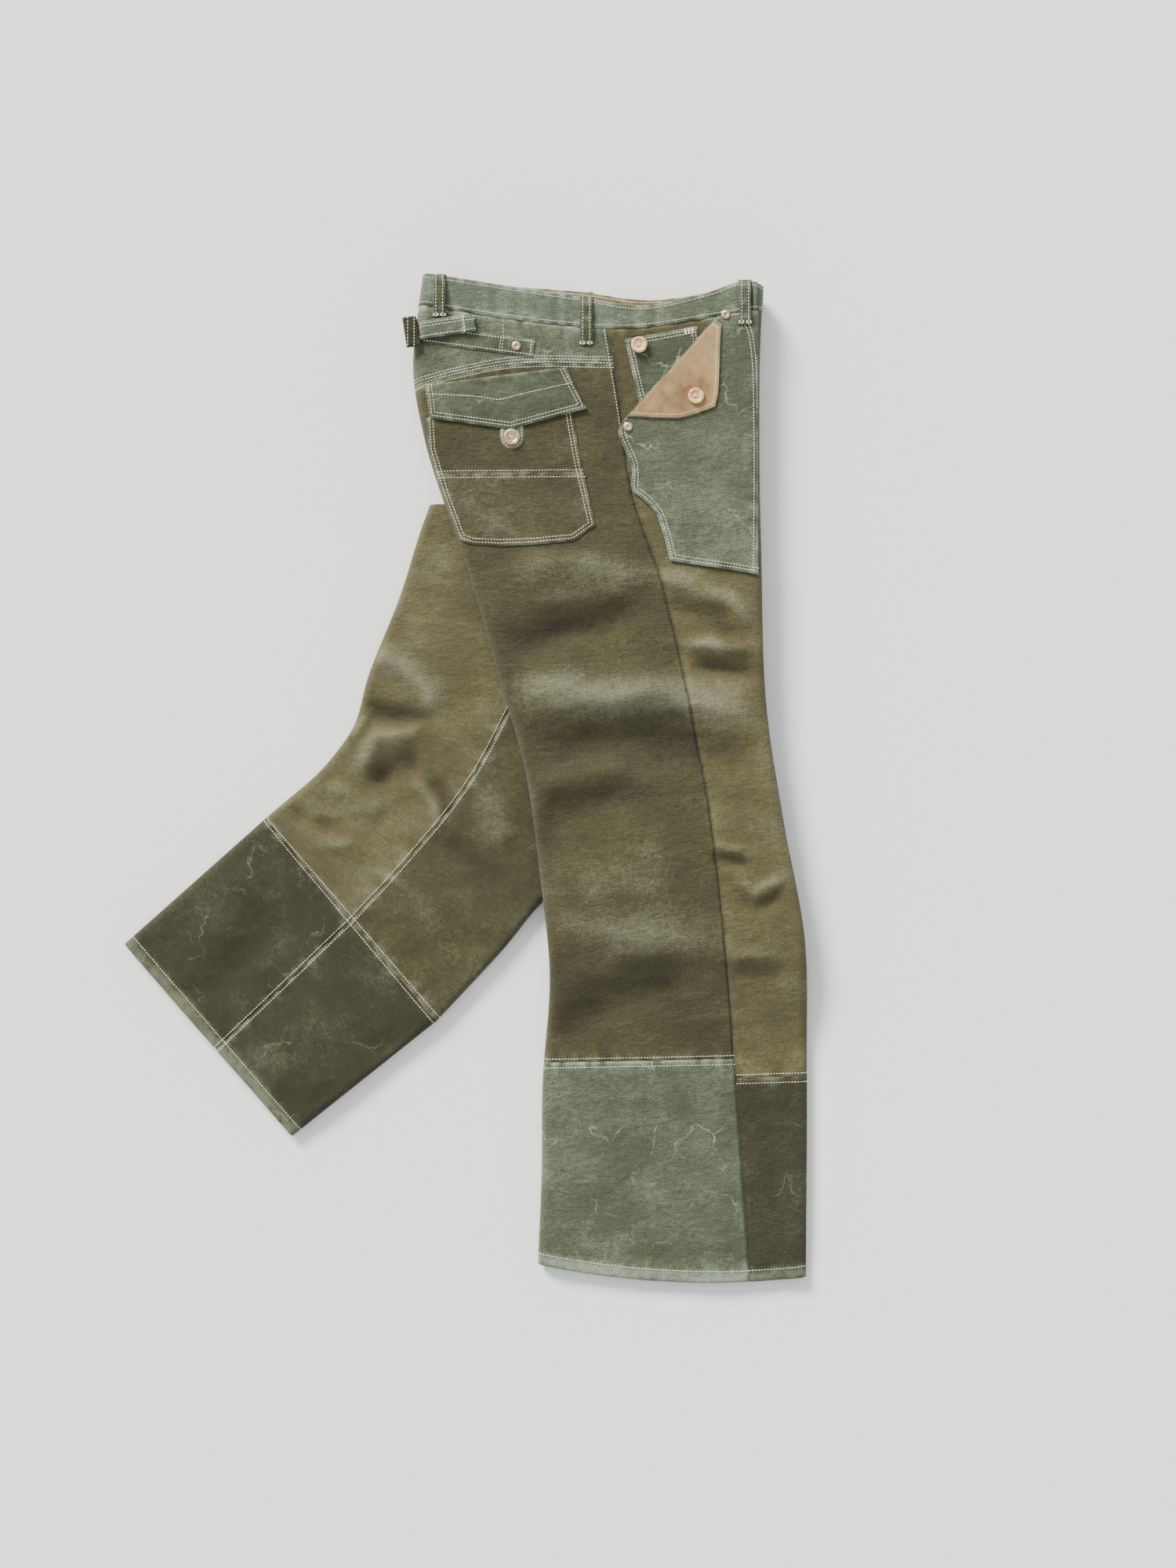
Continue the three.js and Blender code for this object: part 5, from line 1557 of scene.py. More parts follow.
@dataclass
class Waist(Details):
    """Waistband and lining, belt loops, the cinch at the back, and the fly."""

    reach: float = 13.0

    def wrap(
        self,
        top: Callable[[Array], Array],
        foot: Callable[[Array], Array],
        proud: float,
        start: float,
        end: float,
        base: float,
        seed: int,
        thick: float,
        whole: bool,
        level: float = 520.0,
        rows: int = 12,
    ) -> Sheet:
        """A strip that starts on the upper side, goes round the seat fold, and comes back underneath.

        Args:
            top: Its upper edge.
            foot: Its lower edge.
            proud: How far it stands off the panels.
            start: The x it starts at, on the upper side.
            end: The x it ends at, underneath, or on the upper side past the fly fold where it is whole.
            base: How faded it is.
            seed: Picks its puckers.
            thick: Its thickness.
            whole: Whether it goes all the way round.
            level: The height whose folds it follows.
            rows: Rows of the grid.

        Returns:
            The sheet.
        """
        p, reach = self.pattern, self.reach
        seat, fly = float(p.seat_fold(level)), float(p.fly_fold(level))
        flat = lambda a, b: np.linspace(a, b, max(int(abs(a - b) / 3.2), 2) + 1)[1:-1]  # noqa: E731
        turn = np.linspace(math.pi / 2, -math.pi / 2, 15)
        xs = [np.array([start]), flat(start, seat + reach), seat + (reach + proud) * (1 - np.cos(turn)) - proud]
        sines = [np.ones(len(xs[0]) + len(xs[1])), np.sin(turn)]
        if whole:
            xs += [flat(seat + reach, fly - reach), fly - (reach + proud) * (1 - np.cos(turn[::-1])) + proud, flat(fly - reach, end), np.array([end])]
            sines += [-np.ones(len(xs[3])), np.sin(turn[::-1]), np.ones(len(xs[5]) + 1)]
        else:
            xs += [flat(seat + reach, end), np.array([end])]
            sines += [-np.ones(len(xs[3]) + 1)]
        x, sine = np.concatenate(xs), np.concatenate(sines)
        v = np.linspace(0, 1, rows + 1)[:, None]
        far = p.far_side(x) * ease(sine, 0.3, -0.3) if whole else 0.0
        y = mix(top(x), foot(x), v) + far
        xx = x + 0 * v + (p.seat_fold(y) - seat) * ease(x, 90, -30) + (p.fly_fold(y) - fly) * ease(x, 250, 320)
        half = (p.hip_top - p.underside) / 2 + proud
        z = p.hip_middle + half * sine + 0 * v
        top_side = ease(sine, 0.7, 1.0)
        z = z + top_side * (p.relief.read(p.relief.height, xx, y) * p.calm(xx, y))
        from_top, from_foot = np.abs(y - far - top(x)), np.abs(y - far - foot(x))
        edge = np.minimum(from_top, from_foot)
        run = np.concatenate([[0], np.cumsum(np.hypot(np.diff(x), np.diff(z[0])))])
        pucker = Noise(seed, 7.5)(run[None] + 0 * v, edge * 0.4)
        shape = 0.3 * pucker * np.exp(-edge / 7) - 0.3 * np.exp(-((edge / 1.5) ** 2))
        z = z + shape * np.sign(sine) * (np.abs(sine) > 0.9)
        wear = base + 0.12 * np.exp(-edge / 2.0) + 0.34 * pucker * np.exp(-edge / 9)
        uv = np.stack([run[None] + 0 * v, y], -1)
        return Sheet(np.stack([xx, y, z], -1), uv, wear, thick)

    def build_band(self) -> None:
        """Builds the waistband and its lining."""
        p, f = self.pattern, self.finishes
        slit = 315.5
        strip = self.wrap(p.band_top, p.band_foot, 0.6, slit, slit + 1.2, 0.48, 71, 2.4, True)
        self.room.sew("waistband_cloth", [strip], f.band, ["waistband"], "band_canvas", held=Held.FOLDED)
        lower = lambda x: p.band_top(x) - 2.0  # noqa: E731
        strip = self.wrap(lower, p.band_foot, -2.1, slit, slit + 1.2, 0.45, 73, 0.8, True)
        self.room.sew("waistband_drill", [strip], f.twill, ["waistband_lining"], "twill")

    def build_loop(self, side: Side, name: str, centre: float, drop: float, foot: float) -> None:
        """Builds one belt loop.

        Args:
            side: The side that it is on.
            name: Which loop it is.
            centre: Its x.
            drop: How far its foot reaches below the waistband.
            foot: Height of its foot.
        """
        far = 0.0 if side is Side.RIGHT else float(self.pattern.far_side(centre))
        top, low = float(self.pattern.band_top(centre)) + far, float(self.pattern.band_foot(centre)) + far - drop
        path = [(top + 0.8, 0.4), (top + 1.2, 1.6), (top - 2, 2.9), (top - 9, 5.1), ((top + low) / 2 + 3, 6.2), (low + 12, 5.2), (low + 5, foot + 3.0), (low + 1.5, foot + 1.9), (low, foot + 1.2)]
        line = rounded(path, 4)
        across = np.array([-6.5, -6.1, -4.6, -2.4, 0, 2.4, 4.6, 6.1, 6.5])
        crown = np.array([-1.0, -0.5, -0.15, -0.25, 0.0, -0.25, -0.15, -0.5, -1.0])
        x = centre + across[None] + 0 * line[:, :1]
        y = line[:, :1] + 0 * across[None]
        pucker = Noise(int(centre) + 200, 5)(x, y)
        z = self.pattern.on(side, x, y, line[:, 1:] + crown[None] + 0.2 * pucker)
        wear = 0.42 + 0.1 * (np.abs(across) > 5)[None] + 0.24 * pucker + 0 * x
        facing = (0, 1 if side is Side.RIGHT else -1)
        sheet = Sheet(np.stack([x, y, z], -1), np.stack([y, x], -1), wear, 1.6, facing=facing)
        word = side.value
        self.room.sew(f"{name}_loop_{word}", [sheet], self.finishes.washed, [f"{word}_{name}_loop"], "band_canvas", held=Held.FOLDED)

    def build_loops(self, side: Side) -> None:
        """Builds the three belt loops of one side."""
        self.build_loop(side, "back", -27, 11, self.ply(0))
        self.build_loop(side, "side", 132, 20, self.ply(0))
        self.build_loop(side, "front", 304, 15, self.ply(2))

    def strip(self, start: Point, end: Point, width: float, step: float = 2.4) -> Array:
        """A grid on a straight strip of cloth."""
        a, b = np.array(start, float), np.array(end, float)
        d = (b - a) / np.linalg.norm(b - a)
        n = np.array([-d[1], d[0]]) * width / 2
        return coons(np.array([a + n, b + n]), np.array([a - n, b - n]), np.array([a + n, a - n]), np.array([b + n, b - n]), step)

    def build_cinch(self) -> None:
        """Builds the cinch straps, buckle and tail."""
        f, room = self.finishes, self.room
        side = Side.RIGHT
        seat, end = (-49.0, 483.7), (75.0, 467.0)
        grid = self.strip((-47.0, 483.4), end, 19)
        sheet = self.lie(grid, side, self.ply(0) + 1.2, 0.45, 81)
        room.sew("cinch_strap_right", [sheet], f.washed, ["right_cinch_strap"], "faded_canvas")
        line = lambda x: mix(seat[1], end[1], (x - seat[0]) / (end[0] - seat[0]))  # noqa: E731
        sheet = self.wrap(lambda x: line(x) + 9.5, lambda x: line(x) - 9.5, 1.5, -48.0, 75.0, 0.4, 83, 1.2, False, 484.0, 8)
        room.sew("cinch_strap_left", [sheet], f.washed, ["left_cinch_strap"], "faded_canvas")

        low, high = (np.array(c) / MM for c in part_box("cinch_tail"))
        grid = self.strip((-48.8, 485.8), (10.4, 494.6), 19, 2.2)
        lift = high[2] - self.pattern.hip_top
        sheet = self.lie(grid, side, lift, 0.4, 87)
        # The free end is folded over and sewn, so it is thicker.
        along = grid[..., 0] + 48.8
        sheet.thick = mix(1.2, 2.3, ease(along, 46, 48))
        sheet.points[..., 2] += 1.0 * ease(along, 46, 48.5) + 1.6 * np.sin(np.clip(along / 44, 0, 1) * math.pi) ** 2
        sheet.wear += 0.25 * np.exp(-(((along - 47) / 2) ** 2))
        room.sew("cinch_tail_cloth", [sheet], f.band, ["cinch_tail"], "band_canvas", Body.CINCH_TAIL, Held.FOLDED)

        # The buckle's frame is held in a keeper, a short tube of the dark canvas.
        low, high = (np.array(c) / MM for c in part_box("cinch_buckle"))
        middle, tilt = (low + high) / 2, 0.15
        turn = np.linspace(0, 2 * math.pi, 33)[:-1]
        power = lambda v: np.sign(v) * np.abs(v) ** 0.55  # noqa: E731
        along = np.linspace(15.6, -15.6, 14)[:, None]
        x = middle[0] - 0.6 - tilt * along + 7.4 * power(np.cos(turn))[None]
        y = middle[1] + along + tilt * 7.4 * power(np.cos(turn))[None]
        z = middle[2] + 0.5 + 2.9 * power(np.sin(turn))[None] + 0.25 * Noise(91, 6)(x, y)
        wear = 0.35 + 0.25 * np.abs(power(np.cos(turn)))[None] ** 6 + 0.2 * Noise(92, 6)(x, y)
        sheet = Sheet(np.stack([x, y, z], -1), np.stack([7 * turn[None] + 0 * y, y], -1), wear, 1.2, True, (8, 1))
        room.sew("buckle_keeper", [sheet], f.cuff, [], "cuff_canvas", held=Held.FOLDED)

    def build_fly(self) -> None:
        """Builds the fly's facing and shield, which lie inside the front."""
        p, f = self.pattern, self.finishes
        for node, name, slot in (("fly_facing", "facing", "canvas"), ("fly_shield", "shield", "canvas")):
            low, high = (np.array(c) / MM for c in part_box(node))
            left = rounded([(low[0], high[1]), (low[0], low[1] + 40), (low[0] + 1, low[1] + 16)], 5)
            foot = rounded([(low[0] + 1, low[1] + 16), (low[0] + 8, low[1] + 4), (high[0], low[1])], 5)
            grid = coons(np.array([(low[0], high[1]), (high[0], high[1])]), foot, left, np.array([(high[0], high[1]), (high[0], low[1])]), 3.0)
            x, y = grid[..., 0], grid[..., 1]
            z = high[2] + 0 * x
            sheet = Sheet(np.stack([x, y, z], -1), np.stack([x, y], -1), 0.45 + 0.15 * Noise(95, 20)(x, y), 1.2)
            self.room.sew(f"fly_{name}_cloth", [sheet], f.olive, [node], slot)


# ---- Buttons, rivets and the buckle -------------------------------------------------------------


@dataclass
class Turned:
    """Turned and bent hardware, made from rings of points."""

    verts: list[Array] = field(default_factory=list)
    tris: list[Array] = field(default_factory=list)
    paint: list[Array] = field(default_factory=list)
    count: int = 0

    def lathe(self, profile: Sequence[Point], at: Point, low: float, paint: int = 0, flip: bool = False, steps: int = 32) -> None:
        """Adds a turned part.

        Args:
            profile: Radius and height pairs, from the axis round to the axis again.
            at: Where its axis stands.
            low: Height of its foot.
            paint: Its material's number.
            flip: Whether it hangs down.
            steps: Facets round it.
        """
        p = np.array(profile, float)
        turn = np.linspace(0, 2 * math.pi, steps + 1)[:-1]
        ring = p[1:-1]
        x = at[0] + ring[:, :1] * np.cos(turn)
        y = at[1] + ring[:, :1] * np.sin(turn)
        sign = -1 if flip else 1
        z = low + sign * ring[:, 1:] + 0 * x
        verts = np.concatenate([np.stack([x, y, z], -1).reshape(-1, 3), [[at[0], at[1], low + sign * p[0, 1]], [at[0], at[1], low + sign * p[-1, 1]]]])
        n = len(ring)
        index = np.arange(n * steps).reshape(n, steps)
        a, b = index[:-1], index[1:]
        a1, b1 = np.roll(a, -1, 1), np.roll(b, -1, 1)
        tris = [np.stack([a, a1, b1], -1).reshape(-1, 3), np.stack([a, b1, b], -1).reshape(-1, 3)]
        first, last = index[0], index[-1]
        tris.append(np.stack([np.full(steps, n * steps), np.roll(first, -1), first], -1))
        tris.append(np.stack([np.full(steps, n * steps + 1), last, np.roll(last, -1)], -1))
        self._take(verts, np.concatenate(tris), paint)

    def bar(self, path: Array, radius: float, paint: int = 0, closed: bool = False, steps: int = 10) -> None:
        """Adds a round bar along a path.

        Args:
            path: (n, 3) points.
            radius: Its radius.
            paint: Its material's number.
            closed: Whether it is a ring.
            steps: Facets round it.
        """
        p = np.array(path, float)
        ahead = np.roll(p, -1, 0) - np.roll(p, 1, 0) if closed else np.gradient(p, axis=0)
        ahead /= np.linalg.norm(ahead, axis=1, keepdims=True)
        side = np.cross(ahead, [0.0, 0.0, 1.0])
        side /= np.maximum(np.linalg.norm(side, axis=1, keepdims=True), 1e-9)
        up = np.cross(side, ahead)
        turn = np.linspace(0, 2 * math.pi, steps + 1)[:-1]
        size = np.full(len(p), radius)
        if not closed:
            size[[0, -1]] *= 0.45
        ring = p[:, None] + size[:, None, None] * (np.cos(turn)[None, :, None] * side[:, None] + np.sin(turn)[None, :, None] * up[:, None])
        n = len(p)
        index = np.arange(n * steps).reshape(n, steps)
        a, b = (index, np.roll(index, -1, 0)) if closed else (index[:-1], index[1:])
        a1, b1 = np.roll(a, -1, 1), np.roll(b, -1, 1)
        tris = [np.stack([a, a1, b1], -1).reshape(-1, 3), np.stack([a, b1, b], -1).reshape(-1, 3)]
        verts = ring.reshape(-1, 3)
        if not closed:
            verts = np.concatenate([verts, p[:1], p[-1:]])
            tris.append(np.stack([np.full(steps, n * steps), np.roll(index[0], -1), index[0]], -1))
            tris.append(np.stack([np.full(steps, n * steps + 1), index[-1], np.roll(index[-1], -1)], -1))
        self._take(verts, np.concatenate(tris), paint)

    def _take(self, verts: Array, tris: Array, paint: int) -> None:
        """Adds a closed part with its faces outwards."""
        a, b, c = (verts[tris[:, k]] for k in range(3))
        if (np.cross(a, b) * c).sum() < 0:
            tris = tris[:, ::-1]
        self.verts.append(verts)
        self.tris.append(tris + self.count)
        self.paint.append(np.full(len(tris), paint))
        self.count += len(verts)

    def finish(self, name: str, materials: Sequence[bpy.types.Material]) -> bpy.types.Object:
        """Makes the piece.

        Args:
            name: Its name.
            materials: Its materials, by number.

        Returns:
            The piece.
        """
        made = make_mesh(name, np.concatenate(self.verts), np.concatenate(self.tris))
        for material in materials:
            made.data.materials.append(material)
        made.data.polygons.foreach_set("material_index", np.concatenate(self.paint).astype(np.int32))
        made.data.update()
        return made


@dataclass
class Hardware:
    """Buttons, rivets and the cinch buckle."""

    pattern: Pattern
    finishes: Finishes
    room: Workroom

    def centre(self, node: str) -> tuple[Point, float, float]:
        """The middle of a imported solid, and its lowest and highest heights."""
        low, high = (np.array(c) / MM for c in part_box(node))
        return (float(low[0] + high[0]) / 2, float(low[1] + high[1]) / 2), float(low[2]), float(high[2])

    def sink(self, at: Point, side: Side) -> float:
        """How far the cloth under a point stands off the flat hip."""
        if side is Side.LEFT:
            return 0.0
        return float(self.pattern.ground(at[0], at[1])) - self.pattern.hip_top

    def button(self, node: str, side: Side, lift: float, metal: bool, radius: float = 8.7, deep: float = 3.4, inside: bool = False) -> None:
        """Builds one button with its eyes and sewing thread.

        Args:
            node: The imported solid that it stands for.
            side: The side that it is on.
            lift: How far its disc stands above the solid's foot.
            metal: Whether it is brass.
            radius: Its radius.
            deep: Its depth.
            inside: Whether it is inside the garment.
        """
        at, low, high = self.centre(node)
        flip = side is Side.LEFT
        base = high if flip else low + (0 if inside else self.sink(at, side))
        sign = -1 if flip else 1
        r, part = radius, Turned()
        profile = [
            (0, 0), (0.36 * r, 0), (0.36 * r, lift), (0.9 * r, lift + 0.1), (0.975 * r, lift + 0.35), (r, lift + 0.8),
            (r, lift + deep - 1.3), (0.96 * r, lift + deep - 0.55), (0.88 * r, lift + deep - 0.1), (0.8 * r, lift + deep),
            (0.7 * r, lift + deep - 0.08), (0.62 * r, lift + deep - 0.45), (0.56 * r, lift + deep - 1.1),
            (0.5 * r, lift + deep - 1.35), (0.3 * r, lift + deep - 1.42), (0, lift + deep - 1.4),
        ]
        part.lathe(profile, at, base, 0, flip)
        floor = lift + deep - 1.42
        tilt = 0.5 if metal else 1.1
        # The eyes are dark discs, painted shade where the holes would be.
        for k in (-1, 1):
            eye = (at[0] + k * 0.24 * r * math.cos(tilt), at[1] + k * 0.24 * r * math.sin(tilt))
            part.lathe([(0, 0), (0.12 * r, 0), (0.12 * r, 0.12), (0, 0.12)], eye, base + sign * floor, 1, flip, 14)
        reach = 0.24 * r
        for shift in (-0.05, 0.05):
            xs = np.linspace(-reach, reach, 7)
            path = np.stack([
                at[0] + xs * math.cos(tilt) - shift * r * math.sin(tilt),
                at[1] + xs * math.sin(tilt) + shift * r * math.cos(tilt),
                base + sign * (floor + 0.1 + 0.5 * np.cos(xs / reach * math.pi / 2)),
            ], 1)
            part.bar(path, 0.34, 2, steps=8)
        skin = self.finishes.brass if metal else self.finishes.horn
        piece = part.finish(node + "_turned", [skin, self.finishes.hollow, self.finishes.cream])
        self.room.place(piece, [node], "brass" if metal else "horn", Body.ROOT)

    def rivet(self, node: str, side: Side) -> None:
        """Builds one rivet: a domed cap with a burred ring and a punched middle."""
        at, low, high = self.centre(node)
        flip = side is Side.LEFT
        base = high if flip else low + self.sink(at, side)
        part = Turned()
        part.lathe(
            [(0, 0), (4.6, 0), (4.95, 0.25), (4.9, 0.6), (4.3, 1.05), (3.3, 1.45), (2.5, 1.55), (1.9, 1.4), (1.5, 0.95), (1.1, 0.8), (0, 0.78)],
            at, base, 0, flip,
        )
        sign = -1 if flip else 1
        # The punched middle is a dark disc, painted shade in the hole.
        part.lathe([(0, 0), (0.95, 0), (0.95, 0.1), (0, 0.1)], at, base + sign * 0.78, 1, flip, 14)
        piece = part.finish(node + "_cap", [self.finishes.copper, self.finishes.hollow])
        self.room.place(piece, [node], "copper", Body.ROOT)

    def buckle(self) -> None:
        """Builds the cinch buckle: a rectangular wire frame with a middle bar."""
        low, high = (np.array(c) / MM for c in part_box("cinch_buckle"))
        cx, cy, cz = (low + high) / 2
        along, across = np.array([0.989, 0.148, 0.0]), np.array([-0.148, 0.989, 0.0])
        corner, half_w, half_l = 2.4, 6.9, 13.6
        path = []
        for sx, sy, start in ((1, 1, 0), (-1, 1, 90), (-1, -1, 180), (1, -1, 270)):
            for a in np.radians(np.linspace(start, start + 90, 6)):
                u, v = sx * (half_w - corner) + corner * math.cos(a), sy * (half_l - corner) + corner * math.sin(a)
                path.append(np.array([cx, cy, cz]) + along * u + across * v)
        part = Turned()
        part.bar(np.array(path), 0.95, closed=True)
        middle = np.array([np.array([cx, cy, cz]) + across * v for v in np.linspace(-half_l, half_l, 9)])
        part.bar(middle, 0.8)
        piece = part.finish("cinch_buckle_frame", [self.finishes.steel])
        self.room.place(piece, ["cinch_buckle"], "dark_metal", Body.ROOT)

    def build(self) -> None:
        """Builds all the hardware."""
        for side in Side:
            word = side.value
            self.button(f"{word}_back_button", side, 1.5, True, 9.0)
            # The corner flap lies under the rims of both, open or closed; those next to the floor are thinner.
            depth = 3.4 if side is Side.RIGHT else 2.2
            for which in ("hold", "closing"):
                self.button(f"{word}_{which}_button", side, 2.7, False, deep=depth)
            for which in ("cinch", "waist", "side"):
                self.rivet(f"{word}_{which}_rivet", side)
        for k in (1, 2, 3):
            self.button(f"fly_button_{k}", Side.RIGHT, 0.1, False, 7.0, 2.6, True)
        self.button("waist_button", Side.RIGHT, 0.1, False, 8.5, 2.6, True)
        self.buckle()


# ---- Stitching ----------------------------------------------------------------------------------


def offset(path: Sequence[Point] | Array, distance: float) -> Array:
    """A polyline moved sideways.

    Args:
        path: Its corners.
        distance: How far, to its left as it runs.

    Returns:
        The moved corners.
    """
    p = np.array(path, float)
    d = np.diff(p, axis=0)
    d = d / np.maximum(np.linalg.norm(d, axis=1, keepdims=True), 1e-9)
    n = np.stack([-d[:, 1], d[:, 0]], 1)
    before, after = np.concatenate([n[:1], n]), np.concatenate([n, n[-1:]])
    mitre = before + after
    return p + distance * mitre / np.maximum((mitre * after).sum(1, keepdims=True), 0.5)


@dataclass
class Stitching:
    """Rows of lockstitch and bartacks, laid on the finished pieces by one node tree.

    Attributes:
        pitch: Distance from one stitch to the next.
        length: Length of the thread that shows.
        radius: Thread radius, drawn a little full so that it shows.
    """

    pattern: Pattern
    leg: LeftLeg
    finishes: Finishes
    room: Workroom
    pitch: float = 3.3
    length: float = 2.8
    radius: float = 0.48
    rows: dict[tuple[str, Body | None], list[Array]] = field(default_factory=dict)
    faces: dict[str, BVHTree] = field(default_factory=dict)

    def row(self, cloth: str, path: Sequence[Point] | Array, up: bool = True, body: Body | None = Body.ROOT, colour: str = "cream", proud: float = 0.12) -> None:
        """Lays one row on a piece, broken where the piece has none of its path.

        Args:
            cloth: The piece.
            path: The row, seen from above.
            up: Whether it is on the piece's upper face.
            body: What it rides on.
            colour: Its thread.
            proud: How far the thread's middle stands off the cloth.
        """
        if cloth not in self.faces:
            mesh = bpy.data.objects[cloth].data
            corners = [v.co.copy() for v in mesh.vertices]
            self.faces[cloth] = BVHTree.FromPolygons(corners, [tuple(f.vertices) for f in mesh.polygons])
        p = np.array(path, float)
        long = float(np.linalg.norm(np.diff(p, axis=0), axis=1).sum())
        sign = 1 if up else -1
        run: list[tuple[float, float, float]] = []
        for x, y in resample(p, max(int(long / 1.4), 3)):
            hit = self.faces[cloth].ray_cast(Vector((x * MM, y * MM, 0.09 * sign)), Vector((0, 0, -sign)))[0]
            if hit is not None:
                run.append((x, y, hit.z / MM + proud * sign))
            if (hit is None or (x, y) == tuple(p[-1])) and len(run) > 2:
                self.rows.setdefault((colour, body), []).append(np.array(run))
            if hit is None:
                run = []
        if len(run) > 2:
            self.rows.setdefault((colour, body), []).append(np.array(run))

    def tack(self, cloth: str, start: Point, end: Point, up: bool = True, body: Body = Body.ROOT, colour: str = "cream", rows: int = 4, proud: float = 0.12) -> None:
        """Lays a bartack: a few rows side by side, so close that they make one bar."""
        for k in range(rows):
            self.row(cloth, offset([start, end], (k - (rows - 1) / 2) * 0.62), up, body, colour, proud)

    def tree(self) -> bpy.types.NodeTree:
        """Builds the node tree that turns polylines into stitches."""
        tree = bpy.data.node_groups.new("lockstitch", "GeometryNodeTree")
        tree.interface.new_socket("Geometry", in_out="OUTPUT", socket_type="NodeSocketGeometry")
        for name, kind in (("Geometry", "Geometry"), ("Pitch", "Float"), ("Length", "Float"), ("Radius", "Float"), ("Seed", "Int"), ("Thread", "Material")):
            tree.interface.new_socket(name, in_out="INPUT", socket_type="NodeSocket" + kind)
        given = add(tree, "NodeGroupInput", out=None).outputs
        curve = add(tree, "GeometryNodeMeshToCurve", given["Geometry"])
        curve = add(tree, "GeometryNodeResampleCurve", Curve=curve, Length=given["Pitch"], mode="LENGTH")
        one = add(tree, "GeometryNodeMeshUVSphere", 6, 3, 1.0)
        one = add(tree, "GeometryNodeSetShadeSmooth", one)
        along = add(tree, "FunctionNodeAlignRotationToVector", Vector=add(tree, "GeometryNodeInputTangent"), axis="X")
        half = add(tree, "ShaderNodeMath", given["Length"], 0.5, operation="MULTIPLY")
        size = add(tree, "ShaderNodeCombineXYZ", half, given["Radius"], given["Radius"])
        vary = add(tree, "FunctionNodeRandomValue", (0.86, 0.8, 0.85), (1.1, 1.15, 1.1), Seed=given["Seed"], data_type="FLOAT_VECTOR")
        size = add(tree, "ShaderNodeVectorMath", size, vary, operation="MULTIPLY")
        made = add(tree, "GeometryNodeInstanceOnPoints", Points=curve, Instance=one, Rotation=along, Scale=size)
        made = add(tree, "GeometryNodeRealizeInstances", made)
        made = add(tree, "GeometryNodeSetMaterial", made, Material=given["Thread"])
        add(tree, "NodeGroupOutput", made, out=None)
        return tree

    def finish(self) -> None:
        """Turns the rows into one mesh of stitches for each body and thread."""
        tree = self.tree()
        sockets = {item.name: item.identifier for item in tree.interface.items_tree if item.in_out == "INPUT"}
        for seed, ((colour, body), rows) in enumerate(self.rows.items()):
            mesh = bpy.data.meshes.new("rows")
            starts = np.cumsum([0] + [len(row) for row in rows])
            edges = [(a + k, a + k + 1) for a, row in zip(starts, rows, strict=False) for k in range(len(row) - 1)]
            mesh.from_pydata((np.concatenate(rows) * MM).tolist(), edges, [])
            guide = bpy.data.objects.new("rows", mesh)
            bpy.context.scene.collection.objects.link(guide)
            modifier = guide.modifiers.new("lockstitch", "NODES")
            modifier.node_group = tree
            sizes = {"Pitch": self.pitch * MM, "Length": self.length * MM, "Radius": self.radius * MM, "Seed": seed}
            for name, value in {**sizes, "Thread": getattr(self.finishes, colour)}.items():
                modifier[sockets[name]] = value
            bpy.context.view_layer.update()
            made = bpy.data.meshes.new_from_object(guide.evaluated_get(bpy.context.evaluated_depsgraph_get()))
            bpy.data.objects.remove(guide)
            name = f"{colour}_stitches_{body.value if body else 'left_leg_seams'}"
            made.name = name
            piece = bpy.data.objects.new(name, made)
            bpy.context.scene.collection.objects.link(piece)
            self.room.place(piece, [], "twill", body)
            log.info("%s: %d stitches in %d rows", name, len(made.polygons) // 18, len(rows))

    def sew_waist(self, side: Side) -> None:
        """Stitches the waistband, loops, yoke and cinch of one side."""
        p, word, up = self.pattern, side.value, side is Side.RIGHT
        x = np.linspace(-60, 330, 60)
        far = 0.0 if up else p.far_side(x)
        self.row("waistband_cloth", np.stack([x, p.band_top(x) + far - 3.6], 1), up)
        self.row("waistband_cloth", np.stack([x, p.band_foot(x) + far + 3.2], 1), up)
        for name, centre, drop in (("back", -27, 11), ("side", 132, 20), ("front", 304, 15)):
            shift = 0.0 if up else float(p.far_side(centre))
            low, high = float(p.band_foot(centre)) + shift - drop, float(p.band_top(centre)) + shift + 1
            loop = f"{name}_loop_{word}"
            for k in (-3.7, 3.7):
                self.row(loop, [(centre + k, low + 1), (centre + k, high)], up)
            self.tack(loop, (centre - 6, low + 2.4), (centre + 6, low + 2.4), up)
        for cloth, shift in (("back_panel", -3.6), ("yoke", 1.4), ("yoke", 4.6), ("yoke", 7.8)):
            self.row(f"{cloth}_{word}", np.stack([x, p.yoke_seam(x) + shift], 1), up)
        self.row(f"yoke_{word}", [(42, 481), (42, 500)], up)
        y = np.linspace(500, 372, 30)
        for cloth in ("yoke", "back_panel"):
            self.row(f"{cloth}_{word}", np.stack([p.side_seam(y) - 3.4, y], 1), up)
        strap = f"cinch_strap_{word}"
        a, b = np.array((-60.0, 485.1)), np.array((75.0, 467.0))
        d = (b - a) / np.linalg.norm(b - a)
        n = np.array([-d[1], d[0]])
        for k in (-6.9, 6.9):
            self.row(strap, [a + n * k, b + n * k], up)
        for k in (3.0, 34.0, 36.5):
            self.row(strap, [b - d * k - n * 7, b - d * k + n * 7], up)

    def sew_tail(self) -> None:
        """Stitches the cinch tail, the buckle's keeper and the inside of the far waistband."""
        a, b = np.array((-48.8, 485.8)), np.array((10.4, 494.6))
        d = (b - a) / np.linalg.norm(b - a)
        n = np.array([-d[1], d[0]])
        for k in (6.6, 3.4, -6.9):
            self.row("cinch_tail_cloth", [a + n * k, b + n * k], True, Body.CINCH_TAIL)
        self.tack("cinch_tail_cloth", b - d * 11 - n * 8, b - d * 11 + n * 8, True, Body.CINCH_TAIL, rows=2)
        for k in (-3.6, 3.4):
            self.row("buckle_keeper", [(-57.6 + k, 470), (-57.6 + k, 502)])
        x = np.linspace(20, 300, 40)
        p = self.pattern
        self.row("waistband_drill", np.stack([x, p.band_top(x) + p.far_side(x) - 3.4], 1))

